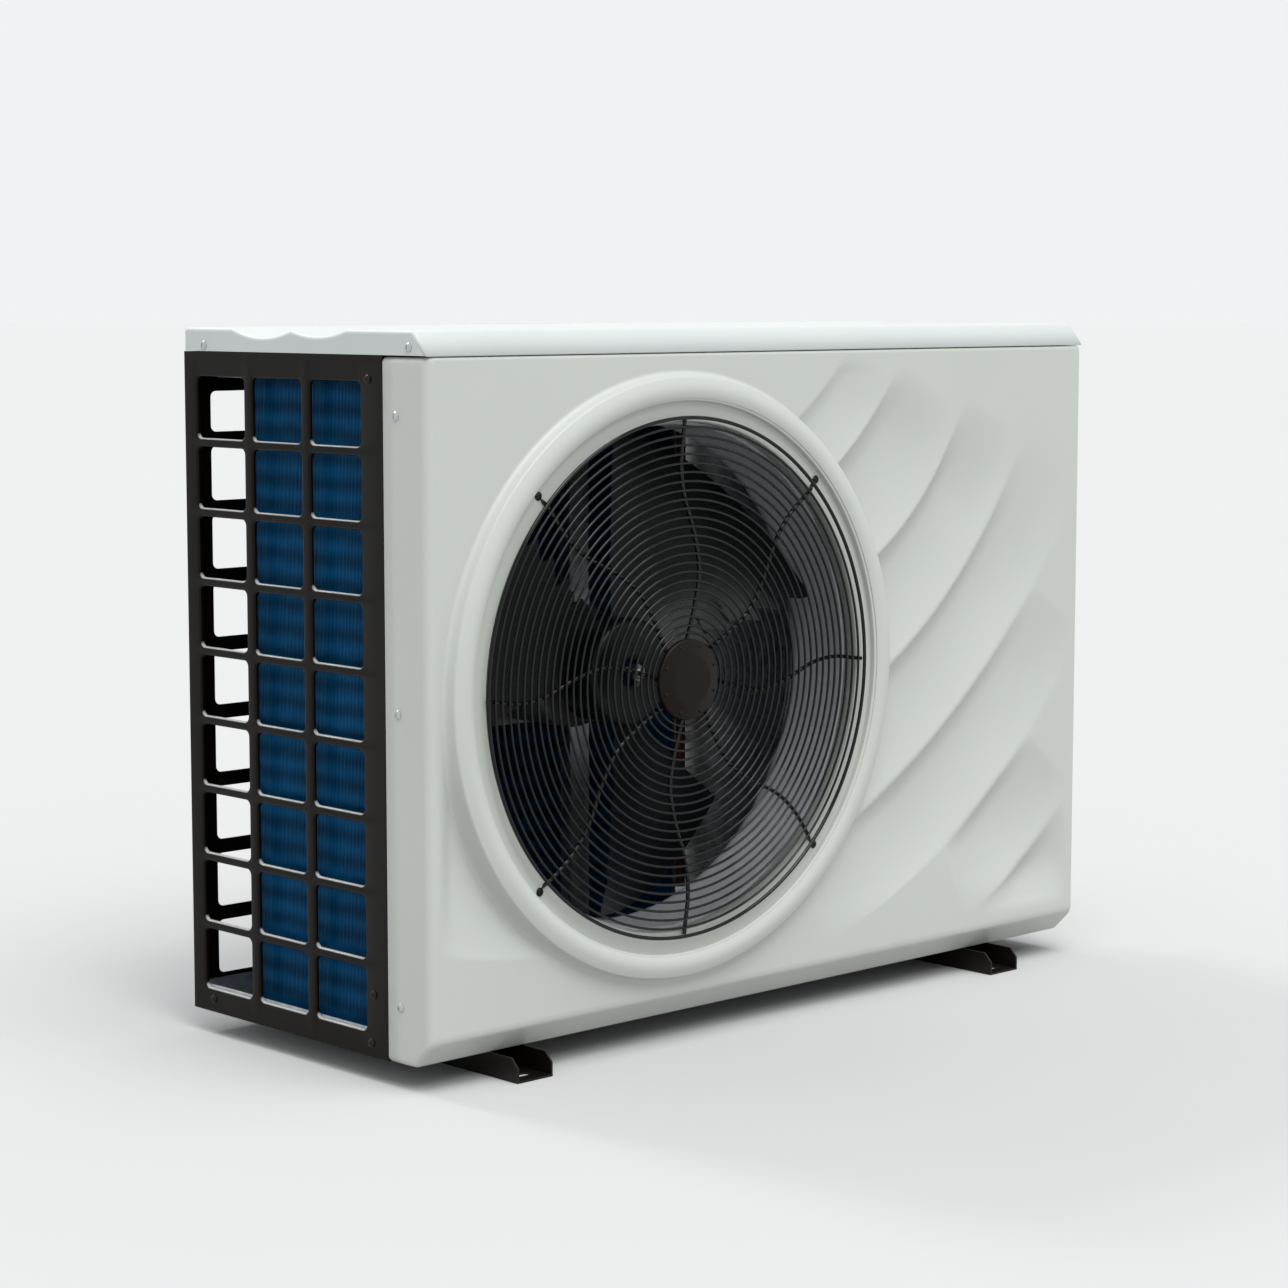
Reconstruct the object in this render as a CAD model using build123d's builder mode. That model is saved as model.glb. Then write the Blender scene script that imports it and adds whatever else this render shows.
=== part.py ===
from build123d import *
import math
import os

# Pool heat pump with one side-blown 500 mm fan, as the separate pieces it is assembled from.
# Millimetres. +Z is up, the front faces -Y and the guarded coil end faces -X. The origin is on the
# ground, at the centre of the four anchor slots in the feet.

# ---------------------------------------------------------------- driving dimensions
LENGTH = 1000.0  # casing, left face to right face
DEPTH = 400.0  # front plane to back face
FOOT_HEIGHT = 25.0
BODY_HEIGHT = 704.0  # casing's lower edge to the lid's lower edge
LID_HEIGHT = 24.5
CASING_SHIFT = 14.0  # casing centre stands this far right of the feet's centre

LEFT = CASING_SHIFT - LENGTH / 2
RIGHT = CASING_SHIFT + LENGTH / 2
FRONT = -DEPTH / 2
BACK = DEPTH / 2
BOTTOM = FOOT_HEIGHT
LID_BOTTOM = BOTTOM + BODY_HEIGHT
TOP = LID_BOTTOM + LID_HEIGHT

SEAM = 0.5  # gap between neighbouring covers
SHEET = 1.5  # folded steel
MOULDING = 3.0  # front panel wall
GRILLE = 4.0  # coil guard wall

WRAP = 66.6  # front panel's return along each side
PANEL_TOP = LID_BOTTOM - 1.5
BOTTOM_CHAMFER = 27.0

FAN_X = LEFT + 338.4
FAN_Z = BOTTOM + 363.6
THROAT = 268.0  # radius of the opening in the front panel
LEDGE = 290.0  # outer radius of the recessed ledge
BEZEL_FOOT = 334.0  # radius where the bezel's flank meets the panel
GUARD_Y = FRONT - 12.0  # plane of the guard rings
GUARD_RADIUS = 272.5
RING_PITCH = 9.4
RING_COUNT = 24
RING_WIRE = 1.35
SPOKE_WIRE = 2.2
EYELET_RADIUS = 282.6

PARTITION_X = LEFT + 700.0
COIL_GAP = 16.0  # coil face to casing face
COIL_THICKNESS = 38.0
COIL_CORNER = 100.0
COIL_BOTTOM = BOTTOM + 8.0
COIL_TOP = BOTTOM + 690.0
COIL_FRONT_END = FRONT + 45.0
COIL_RIGHT_END = PARTITION_X - 38.0

FOOT_SPACING = 729.5
FOOT_WIDTH = 47.0
FOOT_LENGTH = 434.0
ANCHOR_SPACING = 392.0  # front to back

UNION_Y = 95.0
UNION_HEIGHTS = (115.0, 430.0)
FLOOR_TOP = BOTTOM + SHEET

SCREW_CLEARANCE = 2.2
BOLT_RADIUS = 3.0
BOLT_CLEARANCE = 3.3

os.makedirs("parts", exist_ok=True)


def save(piece, name):
    """Label one finished piece and write it."""
    piece.part.label = name
    export_step(piece.part, f"parts/{name}.step")


def outward(x, y, z, normal):
    """A location on a surface whose own Z points out along normal."""
    return Plane(origin=(x, y, z), z_dir=normal).location


def facing_right(x, y, z):
    """A plane on the right face: its own X runs along +Y and its Y runs up."""
    return Plane(origin=(x, y, z), x_dir=(0, 1, 0), z_dir=(1, 0, 0))


def box_between(low, high, mode=Mode.ADD):
    """A box from its lowest corner to its highest."""
    size = Vector(*high) - Vector(*low)
    with Locations(Vector(*low) + size / 2):
        Box(size.X, size.Y, size.Z, mode=mode)


# ---------------------------------------------------------------- screw places
TO_LEFT = (-1, 0, 0)
TO_RIGHT = (1, 0, 0)
TO_FRONT = (0, -1, 0)
TO_BACK = (0, 1, 0)

SIDE_SCREWS = [(BACK - 36, BOTTOM + 710), (FRONT + 26, BOTTOM + 712)]  # lid skirt, as (y, z)
WRAP_SCREWS = [(FRONT + 47, BOTTOM + height) for height in (645, 352, 58)]
GUARD_SCREWS = [(BACK - 36, BOTTOM + 14), (FRONT + 94, BOTTOM + 14), (FRONT + 90, BOTTOM + 64),
                (FRONT + 90, BOTTOM + 680)]
RIGHT_PANEL_SCREWS = [(BACK - 36, BOTTOM + 14), (FRONT + 94, BOTTOM + 14)]
REAR_GUARD_SCREWS = [(x, z) for x in (LEFT + 15, PARTITION_X + 5) for z in (BOTTOM + 18, BOTTOM + 681)]
REAR_PANEL_SCREWS = [(x, z) for x in (PARTITION_X + 24, RIGHT - 24) for z in (BOTTOM + 14, BOTTOM + 690)]

lid_left = [outward(LEFT, y, z, TO_LEFT) for y, z in SIDE_SCREWS]
lid_right = [outward(RIGHT, y, z, TO_RIGHT) for y, z in SIDE_SCREWS]
wrap_left = [outward(LEFT, y, z, TO_LEFT) for y, z in WRAP_SCREWS]
wrap_right = [outward(RIGHT, y, z, TO_RIGHT) for y, z in WRAP_SCREWS]
guard_left = [outward(LEFT, y, z, TO_LEFT) for y, z in GUARD_SCREWS]
panel_right = [outward(RIGHT, y, z, TO_RIGHT) for y, z in RIGHT_PANEL_SCREWS]
guard_back = [outward(x, BACK, z, TO_BACK) for x, z in REAR_GUARD_SCREWS]
panel_back = [outward(x, BACK, z, TO_BACK) for x, z in REAR_PANEL_SCREWS]


def around_fan(radius, angle, y):
    """A point at this radius and angle (degrees from +X towards +Z) around the fan axis."""
    turn = math.radians(angle)
    return Vector(FAN_X + radius * math.cos(turn), y, FAN_Z + radius * math.sin(turn))


EYELET_Y = FRONT - SPOKE_WIRE - 0.4
eyelet_tops = [
    Plane(origin=around_fan(EYELET_RADIUS, angle, EYELET_Y - SPOKE_WIRE), z_dir=TO_FRONT).location
    for angle in (45, 135, 225, 315)
]

SERVICE_Y, SERVICE_Z = -72.0, 640.0
SERVICE_WIDTH, SERVICE_HEIGHT = 104.0, 130.0
SERVICE_SKIN = 1.2
service_corners = [
    outward(RIGHT + SERVICE_SKIN, SERVICE_Y + dy, SERVICE_Z + dz, TO_RIGHT)
    for dy in (-46, 46) for dz in (-59, 59)
]

# ---------------------------------------------------------------- feet
SLOT_RADIUS = 5.0
SLOT_LENGTH = 20.0
FOOT_WALL = 2.0
FOOT_END_HEIGHT = 15.0
FOOT_LIP = 14.0
LIP_REACH = 160.0  # the lips run under the base only
LIP_BOLT = FOOT_WIDTH / 2 - FOOT_WALL - FOOT_LIP / 2
foot_bolts = [
    (side * FOOT_SPACING / 2 + dx, y)
    for side in (-1, 1) for dx in (-LIP_BOLT, LIP_BOLT) for y in (-88, 178)
]


def foot(centre_x):
    """One upward channel: web on the ground, flanges that slope down at both ends, lips under the base."""
    half = FOOT_LENGTH / 2
    slope = FOOT_HEIGHT - FOOT_END_HEIGHT
    with BuildPart() as channel:
        with BuildSketch(Plane.YZ.offset(centre_x - FOOT_WIDTH / 2)):
            with BuildLine():
                Polyline((-half, 0), (half, 0), (half, FOOT_END_HEIGHT), (half - slope, FOOT_HEIGHT),
                         (-half + slope, FOOT_HEIGHT), (-half, FOOT_END_HEIGHT), close=True)
            make_face()
        extrude(amount=FOOT_WIDTH)
        inner = FOOT_WIDTH / 2 - FOOT_WALL
        box_between((centre_x - inner, -half, FOOT_WALL), (centre_x + inner, half, FOOT_HEIGHT),
                    Mode.SUBTRACT)
        for side in (-1, 1):
            edge = centre_x + side * inner
            tip = edge - side * FOOT_LIP
            box_between((min(edge, tip), -LIP_REACH, FOOT_HEIGHT - FOOT_WALL),
                        (max(edge, tip), LIP_REACH + 32, FOOT_HEIGHT))
        with BuildSketch(Plane.XY):
            with Locations((centre_x, -ANCHOR_SPACING / 2), (centre_x, ANCHOR_SPACING / 2)):
                SlotOverall(SLOT_LENGTH, 2 * SLOT_RADIUS)
        extrude(amount=FOOT_WALL, mode=Mode.SUBTRACT)
        with Locations([(x, y, FOOT_HEIGHT) for x, y in foot_bolts if abs(x - centre_x) < FOOT_WIDTH]):
            Hole(BOLT_CLEARANCE, depth=FOOT_WALL)
    return channel


save(foot(-FOOT_SPACING / 2), "left_foot")
save(foot(FOOT_SPACING / 2), "right_foot")

# ---------------------------------------------------------------- base pan
PAN_FRONT = FRONT + BOTTOM_CHAMFER + 9.0
PAN_RIM = 28.0
DRAIN_X, DRAIN_Y = FAN_X, 110.0
DRAIN_HOLE = 12.0
COMPRESSOR_X, COMPRESSOR_Y = 312.0, -82.0
GROMMET_RING = 77.0
grommets = [
    (COMPRESSOR_X + GROMMET_RING * math.cos(turn), COMPRESSOR_Y + GROMMET_RING * math.sin(turn))
    for turn in (math.radians(90), math.radians(210), math.radians(330))
]
pan_low = (LEFT + GRILLE + 0.3, PAN_FRONT, BOTTOM)
pan_high = (RIGHT - MOULDING - 0.3, BACK - GRILLE - 0.3, BOTTOM + PAN_RIM)

with BuildPart() as base_pan:
    box_between(pan_low, pan_high)
    fillet(base_pan.edges().filter_by(Axis.Z), radius=6)
    top = base_pan.faces().sort_by(Axis.Z)[-1]
    offset(amount=-SHEET, openings=top, kind=Kind.INTERSECTION)
    with Locations([(x, y, FLOOR_TOP) for x, y in foot_bolts + grommets]):
        Hole(BOLT_CLEARANCE, depth=SHEET)
    with Locations((DRAIN_X, DRAIN_Y, FLOOR_TOP)):
        Hole(DRAIN_HOLE, depth=SHEET)
    with Locations(*guard_left, *panel_right, *guard_back, *panel_back):
        Hole(SCREW_CLEARANCE, depth=12)
save(base_pan, "base_pan")

DRAIN_SPIGOT = 9.0
DRAIN_BOTTOM = 4.0
with BuildPart() as drain_nozzle:
    with BuildSketch(Plane(origin=(DRAIN_X, DRAIN_Y, 0), x_dir=(1, 0, 0), z_dir=(0, -1, 0))):
        with BuildLine():
            Polyline((6.5, DRAIN_BOTTOM), (DRAIN_SPIGOT, DRAIN_BOTTOM), (DRAIN_SPIGOT, BOTTOM - 2.5),
                     (18, BOTTOM - 2.5), (18, BOTTOM), (DRAIN_HOLE - 0.2, BOTTOM),
                     (DRAIN_HOLE - 0.2, BOTTOM + 4), (6.5, BOTTOM + 4), close=True)
        make_face()
    revolve(axis=Axis((DRAIN_X, DRAIN_Y, 0), (0, 0, 1)))
save(drain_nozzle, "drain_nozzle")

# ---------------------------------------------------------------- front panel
FLUTE_WIDTH = 125.0
# Crest lines between the flutes: centre and radius, from the casing's lower left corner.
CRESTS = [(344, 894, 315), (344, 894, 393), (457, 779, 357), (345, 870, 611), (214, 996, 904),
          (354, 802, 783), (610, 508, 501)]
# Start and end of each flute, in degrees around the middle of its two crest centres, and its depth.
FLUTE_SPANS = [(-64, -40, 4), (-70, -24, 8), (-72, -20, 8), (-74, -22, 8), (-74, -30, 8), (-66, -38, 8)]


def flute(upper, lower, span, grow, low, high):
    """A ring of round section that dips into the panel. It leans about the flute's chord, so that the
    cut is deepest in the middle and runs out at both ends. Only what lies between two corners is kept."""
    start, end = math.radians(span[0]), math.radians(span[1])
    depth = span[2]
    radius = (upper[2] + lower[2]) / 2
    tube = (FLUTE_WIDTH**2 / 4 + depth**2) / (2 * depth)
    centre = Vector(LEFT + (upper[0] + lower[0]) / 2, FRONT, BOTTOM + (upper[1] + lower[1]) / 2)
    middle = (start + end) / 2
    half = (end - start) / 2
    to_middle = Vector(math.cos(middle), 0, math.sin(middle))
    along_chord = to_middle.cross(Vector(0, 1, 0))
    lean = math.asin(depth / (radius * (1 - math.cos(half))))
    dipping = to_middle * math.cos(lean) + Vector(0, 1, 0) * math.sin(lean)
    chord_centre = centre + to_middle * (radius * math.cos(half))
    ring_centre = chord_centre - dipping * (radius * math.cos(half))
    ring_axis = dipping.cross(along_chord)
    at_start = dipping * math.cos(half) - along_chord * math.sin(half)
    with BuildPart() as ring:
        with BuildSketch(Plane(origin=ring_centre, x_dir=at_start, z_dir=at_start.cross(ring_axis))):
            with Locations((radius - tube * math.sin(lean), tube * math.cos(lean))):
                Circle(tube + grow)
            with Locations((radius, 0)):
                Rectangle(FLUTE_WIDTH + 35, 110, mode=Mode.INTERSECT)
        revolve(axis=Axis(ring_centre, ring_axis), revolution_arc=math.degrees(2 * half))
        box_between(low, high, Mode.INTERSECT)
    return ring.part


def panel_envelope(inset):
    """The front panel's outer form, drawn in by inset on every side it covers."""
    with BuildPart() as envelope:
        with BuildSketch(Plane.YZ.offset(LEFT + inset)):
            slope = inset * math.tan(math.radians(22.5))
            with BuildLine():
                Polyline((FRONT + WRAP, BOTTOM + inset), (FRONT + BOTTOM_CHAMFER + slope, BOTTOM + inset),
                         (FRONT + inset, BOTTOM + BOTTOM_CHAMFER + slope), (FRONT + inset, PANEL_TOP - inset),
                         (FRONT + WRAP, PANEL_TOP - inset), close=True)
            make_face()
        extrude(amount=LENGTH - 2 * inset)
        upright = envelope.edges().filter_by(Axis.Z).group_by(Axis.Y)[0]
        fillet(upright, radius=10 - inset)
        rim = envelope.faces().sort_by(Axis.Z)[-1].edges()
        fillet(rim.sort_by(Axis.Y)[:-1], radius=6 - inset)
    return envelope.part


cut_region = ((FAN_X, FRONT - 30, BOTTOM + 29), (RIGHT - 12, FRONT + 9, PANEL_TOP - 8))
back_region = ((FAN_X, FRONT + 1, BOTTOM + 29), (RIGHT - 4, FRONT + 12, PANEL_TOP - 4))
flute_cuts = [flute(*crests, 0.0, *cut_region) for crests in zip(CRESTS, CRESTS[1:], FLUTE_SPANS)]
flute_backs = [flute(*crests, MOULDING, *back_region) for crests in zip(CRESTS, CRESTS[1:], FLUTE_SPANS)]
outer_form = panel_envelope(0.0)
inner_form = panel_envelope(MOULDING)
BULKHEAD_Y = FRONT + 14.2

fan_plane = Plane(origin=(FAN_X, FRONT, FAN_Z), x_dir=(1, 0, 0), z_dir=(0, 0, 1))
fan_axis = Axis((FAN_X, FRONT, FAN_Z), (0, 1, 0))
fan_front = Plane(origin=(FAN_X, FRONT - 30, FAN_Z), z_dir=TO_BACK)

with BuildPart() as front_panel:
    add(outer_form)
    add(inner_form, mode=Mode.SUBTRACT)
    box_between((LEFT + MOULDING, FRONT + BOTTOM_CHAMFER + 8, BOTTOM),
                (RIGHT - MOULDING, FRONT + WRAP, BOTTOM + MOULDING), Mode.SUBTRACT)
    box_between((LEFT + MOULDING, FRONT + 25, PANEL_TOP - MOULDING),
                (RIGHT - MOULDING, FRONT + WRAP, PANEL_TOP), Mode.SUBTRACT)
    add(flute_backs)
    add(flute_cuts, mode=Mode.SUBTRACT)
    with BuildSketch(fan_front):
        Circle(BEZEL_FOOT - 1.5)
    extrude(amount=44, mode=Mode.SUBTRACT)
    with BuildSketch(fan_plane):
        with BuildLine():
            Line((BEZEL_FOOT, 12), (BEZEL_FOOT, 0))
            ThreePointArc((BEZEL_FOOT, 0), (321.5, -3), (313, -10))
            ThreePointArc((313, -10), (302, -15), (LEDGE, -11))
            Polyline((LEDGE, -11), (LEDGE, 0), (THROAT, 0), (THROAT, 14), (THROAT + MOULDING, 14),
                     (THROAT + MOULDING, MOULDING), (LEDGE + MOULDING, MOULDING), (LEDGE + MOULDING, -9))
            ThreePointArc((LEDGE + MOULDING, -9), (302, -12), (311, -7))
            ThreePointArc((311, -7), (319, 0.5), (BEZEL_FOOT - MOULDING, MOULDING))
            Polyline((BEZEL_FOOT - MOULDING, MOULDING), (BEZEL_FOOT - MOULDING, 12), (BEZEL_FOOT, 12))
        make_face()
    revolve(axis=fan_axis)
    for tongue_x in (LEFT + MOULDING, RIGHT - 2 * MOULDING):
        box_between((tongue_x, FRONT + 18, PANEL_TOP - 30),
                    (tongue_x + MOULDING, FRONT + 42, LID_BOTTOM + 13))
    with Locations(*wrap_left, *wrap_right, *lid_left[1:], *lid_right[1:], *eyelet_tops):
        Hole(SCREW_CLEARANCE, depth=11)
save(front_panel, "front_panel")

# ---------------------------------------------------------------- coil guards
OPENING = 82.6
COLUMN_PITCH = 96.85
LEFT_ROW_HEIGHT, LEFT_ROW_PITCH = 64.25, 73.46
REAR_ROW_HEIGHT, REAR_ROW_PITCH = 57.7, 73.1
ROWS = 9
GUARD_TOP = LID_BOTTOM - SEAM
OPENING_RADIUS = 9.0

with BuildPart() as left_guard:
    box_between((LEFT, FRONT + WRAP + SEAM, BOTTOM), (LEFT + GRILLE, BACK, GUARD_TOP))
    fillet(left_guard.edges().filter_by(Axis.Z).group_by(Axis.Y)[-1].sort_by(Axis.X)[0], radius=3)
    with BuildSketch(Plane(origin=(LEFT, BACK - 159.5, BOTTOM + 351.36), x_dir=(0, -1, 0), z_dir=TO_LEFT)):
        with GridLocations(COLUMN_PITCH, LEFT_ROW_PITCH, 3, ROWS):
            RectangleRounded(OPENING, LEFT_ROW_HEIGHT, OPENING_RADIUS)
    extrude(amount=-GRILLE, mode=Mode.SUBTRACT)
    box_between((LEFT + 2.3, FRONT + WRAP + 10, GUARD_TOP - 4), (LEFT + GRILLE, BACK - 10, LID_BOTTOM + 12))
    with Locations(*guard_left, lid_left[0]):
        Hole(SCREW_CLEARANCE, depth=6)
save(left_guard, "left_guard")

REAR_GUARD_RIGHT = PARTITION_X + 9.0
REAR_FIRST_COLUMN = LEFT + 30.0 + OPENING / 2
REAR_FIRST_ROW = BOTTOM + 33.0 + REAR_ROW_HEIGHT / 2
REAR_TOP_ROW_HEIGHT = 43.0  # the top row is cut short by the coil's upper rail
rear_columns = [REAR_FIRST_COLUMN + i * COLUMN_PITCH for i in range(7)]
rear_rows = [REAR_FIRST_ROW + i * REAR_ROW_PITCH for i in range(ROWS - 1)]
top_row = REAR_FIRST_ROW + 8 * REAR_ROW_PITCH - (REAR_ROW_HEIGHT - REAR_TOP_ROW_HEIGHT) / 2

with BuildPart() as rear_guard:
    box_between((LEFT + GRILLE + 0.2, BACK - GRILLE, BOTTOM), (REAR_GUARD_RIGHT, BACK, GUARD_TOP))
    with BuildSketch(Plane(origin=(0, BACK, 0), x_dir=(1, 0, 0), z_dir=TO_FRONT)):
        with Locations([(x, z) for x in rear_columns for z in rear_rows]):
            RectangleRounded(OPENING, REAR_ROW_HEIGHT, OPENING_RADIUS)
        with Locations([(x, top_row) for x in rear_columns]):
            RectangleRounded(OPENING, REAR_TOP_ROW_HEIGHT, OPENING_RADIUS)
    extrude(amount=GRILLE, mode=Mode.SUBTRACT)
    with Locations(*guard_back):
        Hole(SCREW_CLEARANCE, depth=6)
save(rear_guard, "rear_guard")

# ---------------------------------------------------------------- rear and right panels, service cover
PANEL_SKIN = 1.2
with BuildPart() as rear_panel:
    box_between((REAR_GUARD_RIGHT + SEAM, BACK - PANEL_SKIN, BOTTOM),
                (RIGHT - PANEL_SKIN - SEAM, BACK, GUARD_TOP))
    with BuildSketch(Plane(origin=((REAR_GUARD_RIGHT + RIGHT) / 2, BACK, BOTTOM + 150), z_dir=TO_BACK)):
        with GridLocations(80, 16, 2, 7):
            SlotOverall(62, 6)
    extrude(amount=-PANEL_SKIN, mode=Mode.SUBTRACT)
    with Locations(*panel_back):
        Hole(SCREW_CLEARANCE, depth=4)
save(rear_panel, "rear_panel")

CONTROL_Y, CONTROL_Z = 55.0, 640.0
GAUGE_Y, GAUGE_Z = 158.0, 640.0
GLAND_YS = (-100.0, -45.0)
GLAND_Z = 540.0
UNION_HOLE = 34.0

with BuildPart() as right_panel:
    box_between((RIGHT - PANEL_SKIN, FRONT + WRAP + SEAM, BOTTOM), (RIGHT, BACK, GUARD_TOP))
    box_between((RIGHT - 14, FRONT + WRAP + 12, GUARD_TOP - PANEL_SKIN),
                (RIGHT - PANEL_SKIN, BACK - 6, GUARD_TOP))
    box_between((RIGHT - 3.8, FRONT + WRAP + 12, GUARD_TOP - 4), (RIGHT - 2.6, BACK - 10, LID_BOTTOM + 12))
    with Locations(*[outward(RIGHT, UNION_Y, z, TO_RIGHT) for z in UNION_HEIGHTS]):
        Hole(UNION_HOLE, depth=4)
    with Locations(*[outward(RIGHT, y, GLAND_Z, TO_RIGHT) for y in GLAND_YS]):
        Hole(10.3, depth=4)
    with Locations(outward(RIGHT, GAUGE_Y, GAUGE_Z, TO_RIGHT)):
        Hole(24.4, depth=4)
    box_between((RIGHT - 4, CONTROL_Y - 59.5, CONTROL_Z - 44.5),
                (RIGHT + 1, CONTROL_Y + 59.5, CONTROL_Z + 44.5),
                Mode.SUBTRACT)
    box_between((RIGHT - 2, SERVICE_Y - 40, SERVICE_Z - 52), (RIGHT + 1, SERVICE_Y + 40, SERVICE_Z + 52),
                Mode.SUBTRACT)
    with Locations(*panel_right, *service_corners, lid_right[0]):
        Hole(SCREW_CLEARANCE, depth=6)
save(right_panel, "right_panel")

with BuildPart() as service_cover:
    with BuildSketch(Plane(origin=(RIGHT, SERVICE_Y, SERVICE_Z), x_dir=(0, 1, 0), z_dir=TO_RIGHT)):
        RectangleRounded(SERVICE_WIDTH, SERVICE_HEIGHT, 6)
    extrude(amount=SERVICE_SKIN)
    with BuildSketch(Plane(origin=(RIGHT, SERVICE_Y, SERVICE_Z), x_dir=(0, 1, 0), z_dir=TO_LEFT)):
        RectangleRounded(60, 22, 8)
    extrude(amount=9)
    cover_face = Plane(origin=(RIGHT + SERVICE_SKIN, SERVICE_Y, SERVICE_Z), x_dir=(0, 1, 0), z_dir=TO_LEFT)
    with BuildSketch(cover_face):
        RectangleRounded(56, 18, 6.8)
    extrude(amount=9, mode=Mode.SUBTRACT)
    with Locations(*service_corners):
        Hole(SCREW_CLEARANCE, depth=3)
save(service_cover, "service_cover")

# ---------------------------------------------------------------- top cover
LID_SLOPE = 20.5  # the slanted front edge leans back this far over the lid's height
LID_SKIN = 2.0
# Troughs along the lid: distance behind the front plane, width and depth.
TROUGHS = [(172.0, 95.0, 7.0), (263.0, 104.0, 9.0)]


def lid_form(inset, trough_grow):
    """The lid's outer form, drawn in by inset, with the troughs pressed in from above."""
    with BuildPart() as form:
        with BuildSketch(Plane.YZ.offset(LEFT + inset)):
            lean = inset * 1.3
            with BuildLine():
                Polyline((FRONT + lean, LID_BOTTOM), (FRONT + LID_SLOPE + inset, TOP - inset),
                         (BACK - inset, TOP - inset), (BACK - inset, LID_BOTTOM), close=True)
            make_face()
        extrude(amount=LENGTH - 2 * inset)
        crest = form.faces().sort_by(Axis.Z)[-1]
        fillet(crest.edges(), radius=3.0 - inset / 2)
        for behind, width, depth in TROUGHS:
            radius = (width**2 / 4 + depth**2) / (2 * depth)
            with BuildSketch(Plane.YZ.offset(LEFT - 1)):
                with Locations((FRONT + behind, TOP - depth + radius)):
                    Circle(radius + trough_grow)
            extrude(amount=LENGTH + 2, mode=Mode.SUBTRACT)
    return form.part


lid_outside = lid_form(0.0, 0.0)
lid_inside = lid_form(LID_SKIN, LID_SKIN)
with BuildPart() as top_cover:
    add(lid_outside)
    add(lid_inside, mode=Mode.SUBTRACT)
    with Locations(*lid_left, *lid_right):
        Hole(SCREW_CLEARANCE, depth=4)
save(top_cover, "top_cover")

# ---------------------------------------------------------------- screws and bolts
HEAD_RADIUS = 4.6
HEAD_HEIGHT = 2.8


def pan_screw():
    """A pan-head screw standing on its seat, head up, with a cross recess."""
    with BuildPart() as screw:
        with BuildSketch(Plane.XZ):
            with BuildLine():
                Polyline((0, HEAD_HEIGHT), (0, -9), (1.9, -9), (1.9, 0), (HEAD_RADIUS, 0), (HEAD_RADIUS, 0.8))
                ThreePointArc((HEAD_RADIUS, 0.8), (3.1, 2.2), (0, HEAD_HEIGHT))
            make_face()
        revolve(axis=Axis.Z)
        for size in ((4.6, 0.9, 2.4), (0.9, 4.6, 2.4)):
            with Locations((0, 0, HEAD_HEIGHT)):
                Box(*size, mode=Mode.SUBTRACT)
    return screw.part


one_screw = pan_screw()
with BuildPart() as silver_screws:
    with Locations(*lid_left, *lid_right, *wrap_left, *wrap_right,
                   *panel_right, *panel_back, *service_corners):
        add(one_screw)
save(silver_screws, "silver_screws")

with BuildPart() as black_screws:
    with Locations(*guard_left, *guard_back, *eyelet_tops):
        add(one_screw)
save(black_screws, "black_screws")

GROMMET_TOP = FLOOR_TOP + 21.0


def hexagon_on_rod(rod_top, rod_length, *hexagon_heights):
    """A threaded rod hanging from its seat, with 4 mm hexagons standing at the given heights."""
    with BuildPart() as bolt:
        with BuildSketch(Plane.XY.offset(rod_top)):
            Circle(BOLT_RADIUS)
        extrude(amount=-rod_length)
        for height in hexagon_heights:
            with BuildSketch(Plane.XY.offset(height)):
                RegularPolygon(5.7, 6)
            extrude(amount=4)
    return bolt.part


foot_bolt = hexagon_on_rod(0, 12, 0, -SHEET - FOOT_WALL - 4)
compressor_stud = hexagon_on_rod(7, GROMMET_TOP - BOTTOM + 7, 0)
with BuildPart() as hex_bolts:
    with Locations([(x, y, FLOOR_TOP) for x, y in foot_bolts]):
        add(foot_bolt)
    with Locations([(x, y, GROMMET_TOP) for x, y in grommets]):
        add(compressor_stud)
save(hex_bolts, "hex_bolts")

# ---------------------------------------------------------------- wire fan guard
SPOKE_Y = GUARD_Y + RING_WIRE + SPOKE_WIRE + 0.05
RIM_WIRE = 2.0
INNER_RING = 49.0

with BuildPart() as guard_rings:
    with BuildSketch(fan_plane):
        ring_y = GUARD_Y - FRONT
        with Locations((GUARD_RADIUS, ring_y + RING_WIRE - RIM_WIRE)):
            RegularPolygon(RIM_WIRE, 8)
        with Locations([(GUARD_RADIUS - i * RING_PITCH, ring_y) for i in range(1, RING_COUNT)]):
            RegularPolygon(RING_WIRE, 8)
        with Locations((INNER_RING, ring_y)):
            RegularPolygon(RING_WIRE, 8)
    revolve(axis=fan_axis)
save(guard_rings, "guard_rings")

# The spoke's S-bend: radius and sideways offset.
SPOKE_BEND = [(38, 2), (112, 21), (188, 0), (236, -5), (GUARD_RADIUS - 1.5, 0)]


def spoke(angle, reaches_ledge):
    """One S-bent wire spoke. The four diagonal ones run on to an eyelet on the ledge."""
    turn = math.radians(angle)
    out = Vector(math.cos(turn), 0, math.sin(turn))
    aside = Vector(math.sin(turn), 0, -math.cos(turn))
    hub = Vector(FAN_X, SPOKE_Y, FAN_Z)
    points = [hub + out * radius + aside * bend for radius, bend in SPOKE_BEND]
    with BuildPart() as wire:
        with BuildLine() as path:
            Spline(*points)
            if reaches_ledge:
                Spline(points[-1], hub + out * (EYELET_RADIUS - 4.5) + Vector(0, EYELET_Y - SPOKE_Y, 0),
                       tangents=[path.line % 1, out])
        with BuildSketch(Plane(origin=path.line @ 0, z_dir=path.line % 0)):
            Circle(SPOKE_WIRE)
        sweep()
        if reaches_ledge:
            eyelet = Plane(origin=around_fan(EYELET_RADIUS, angle, EYELET_Y), z_dir=TO_FRONT)
            with Locations(eyelet.location):
                Torus(4.8, SPOKE_WIRE)
    return wire.part


spokes = [spoke(45 * i, i % 2 == 1) for i in range(8)]
with BuildPart() as guard_spokes:
    add(spokes)
save(guard_spokes, "guard_spokes")

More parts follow.
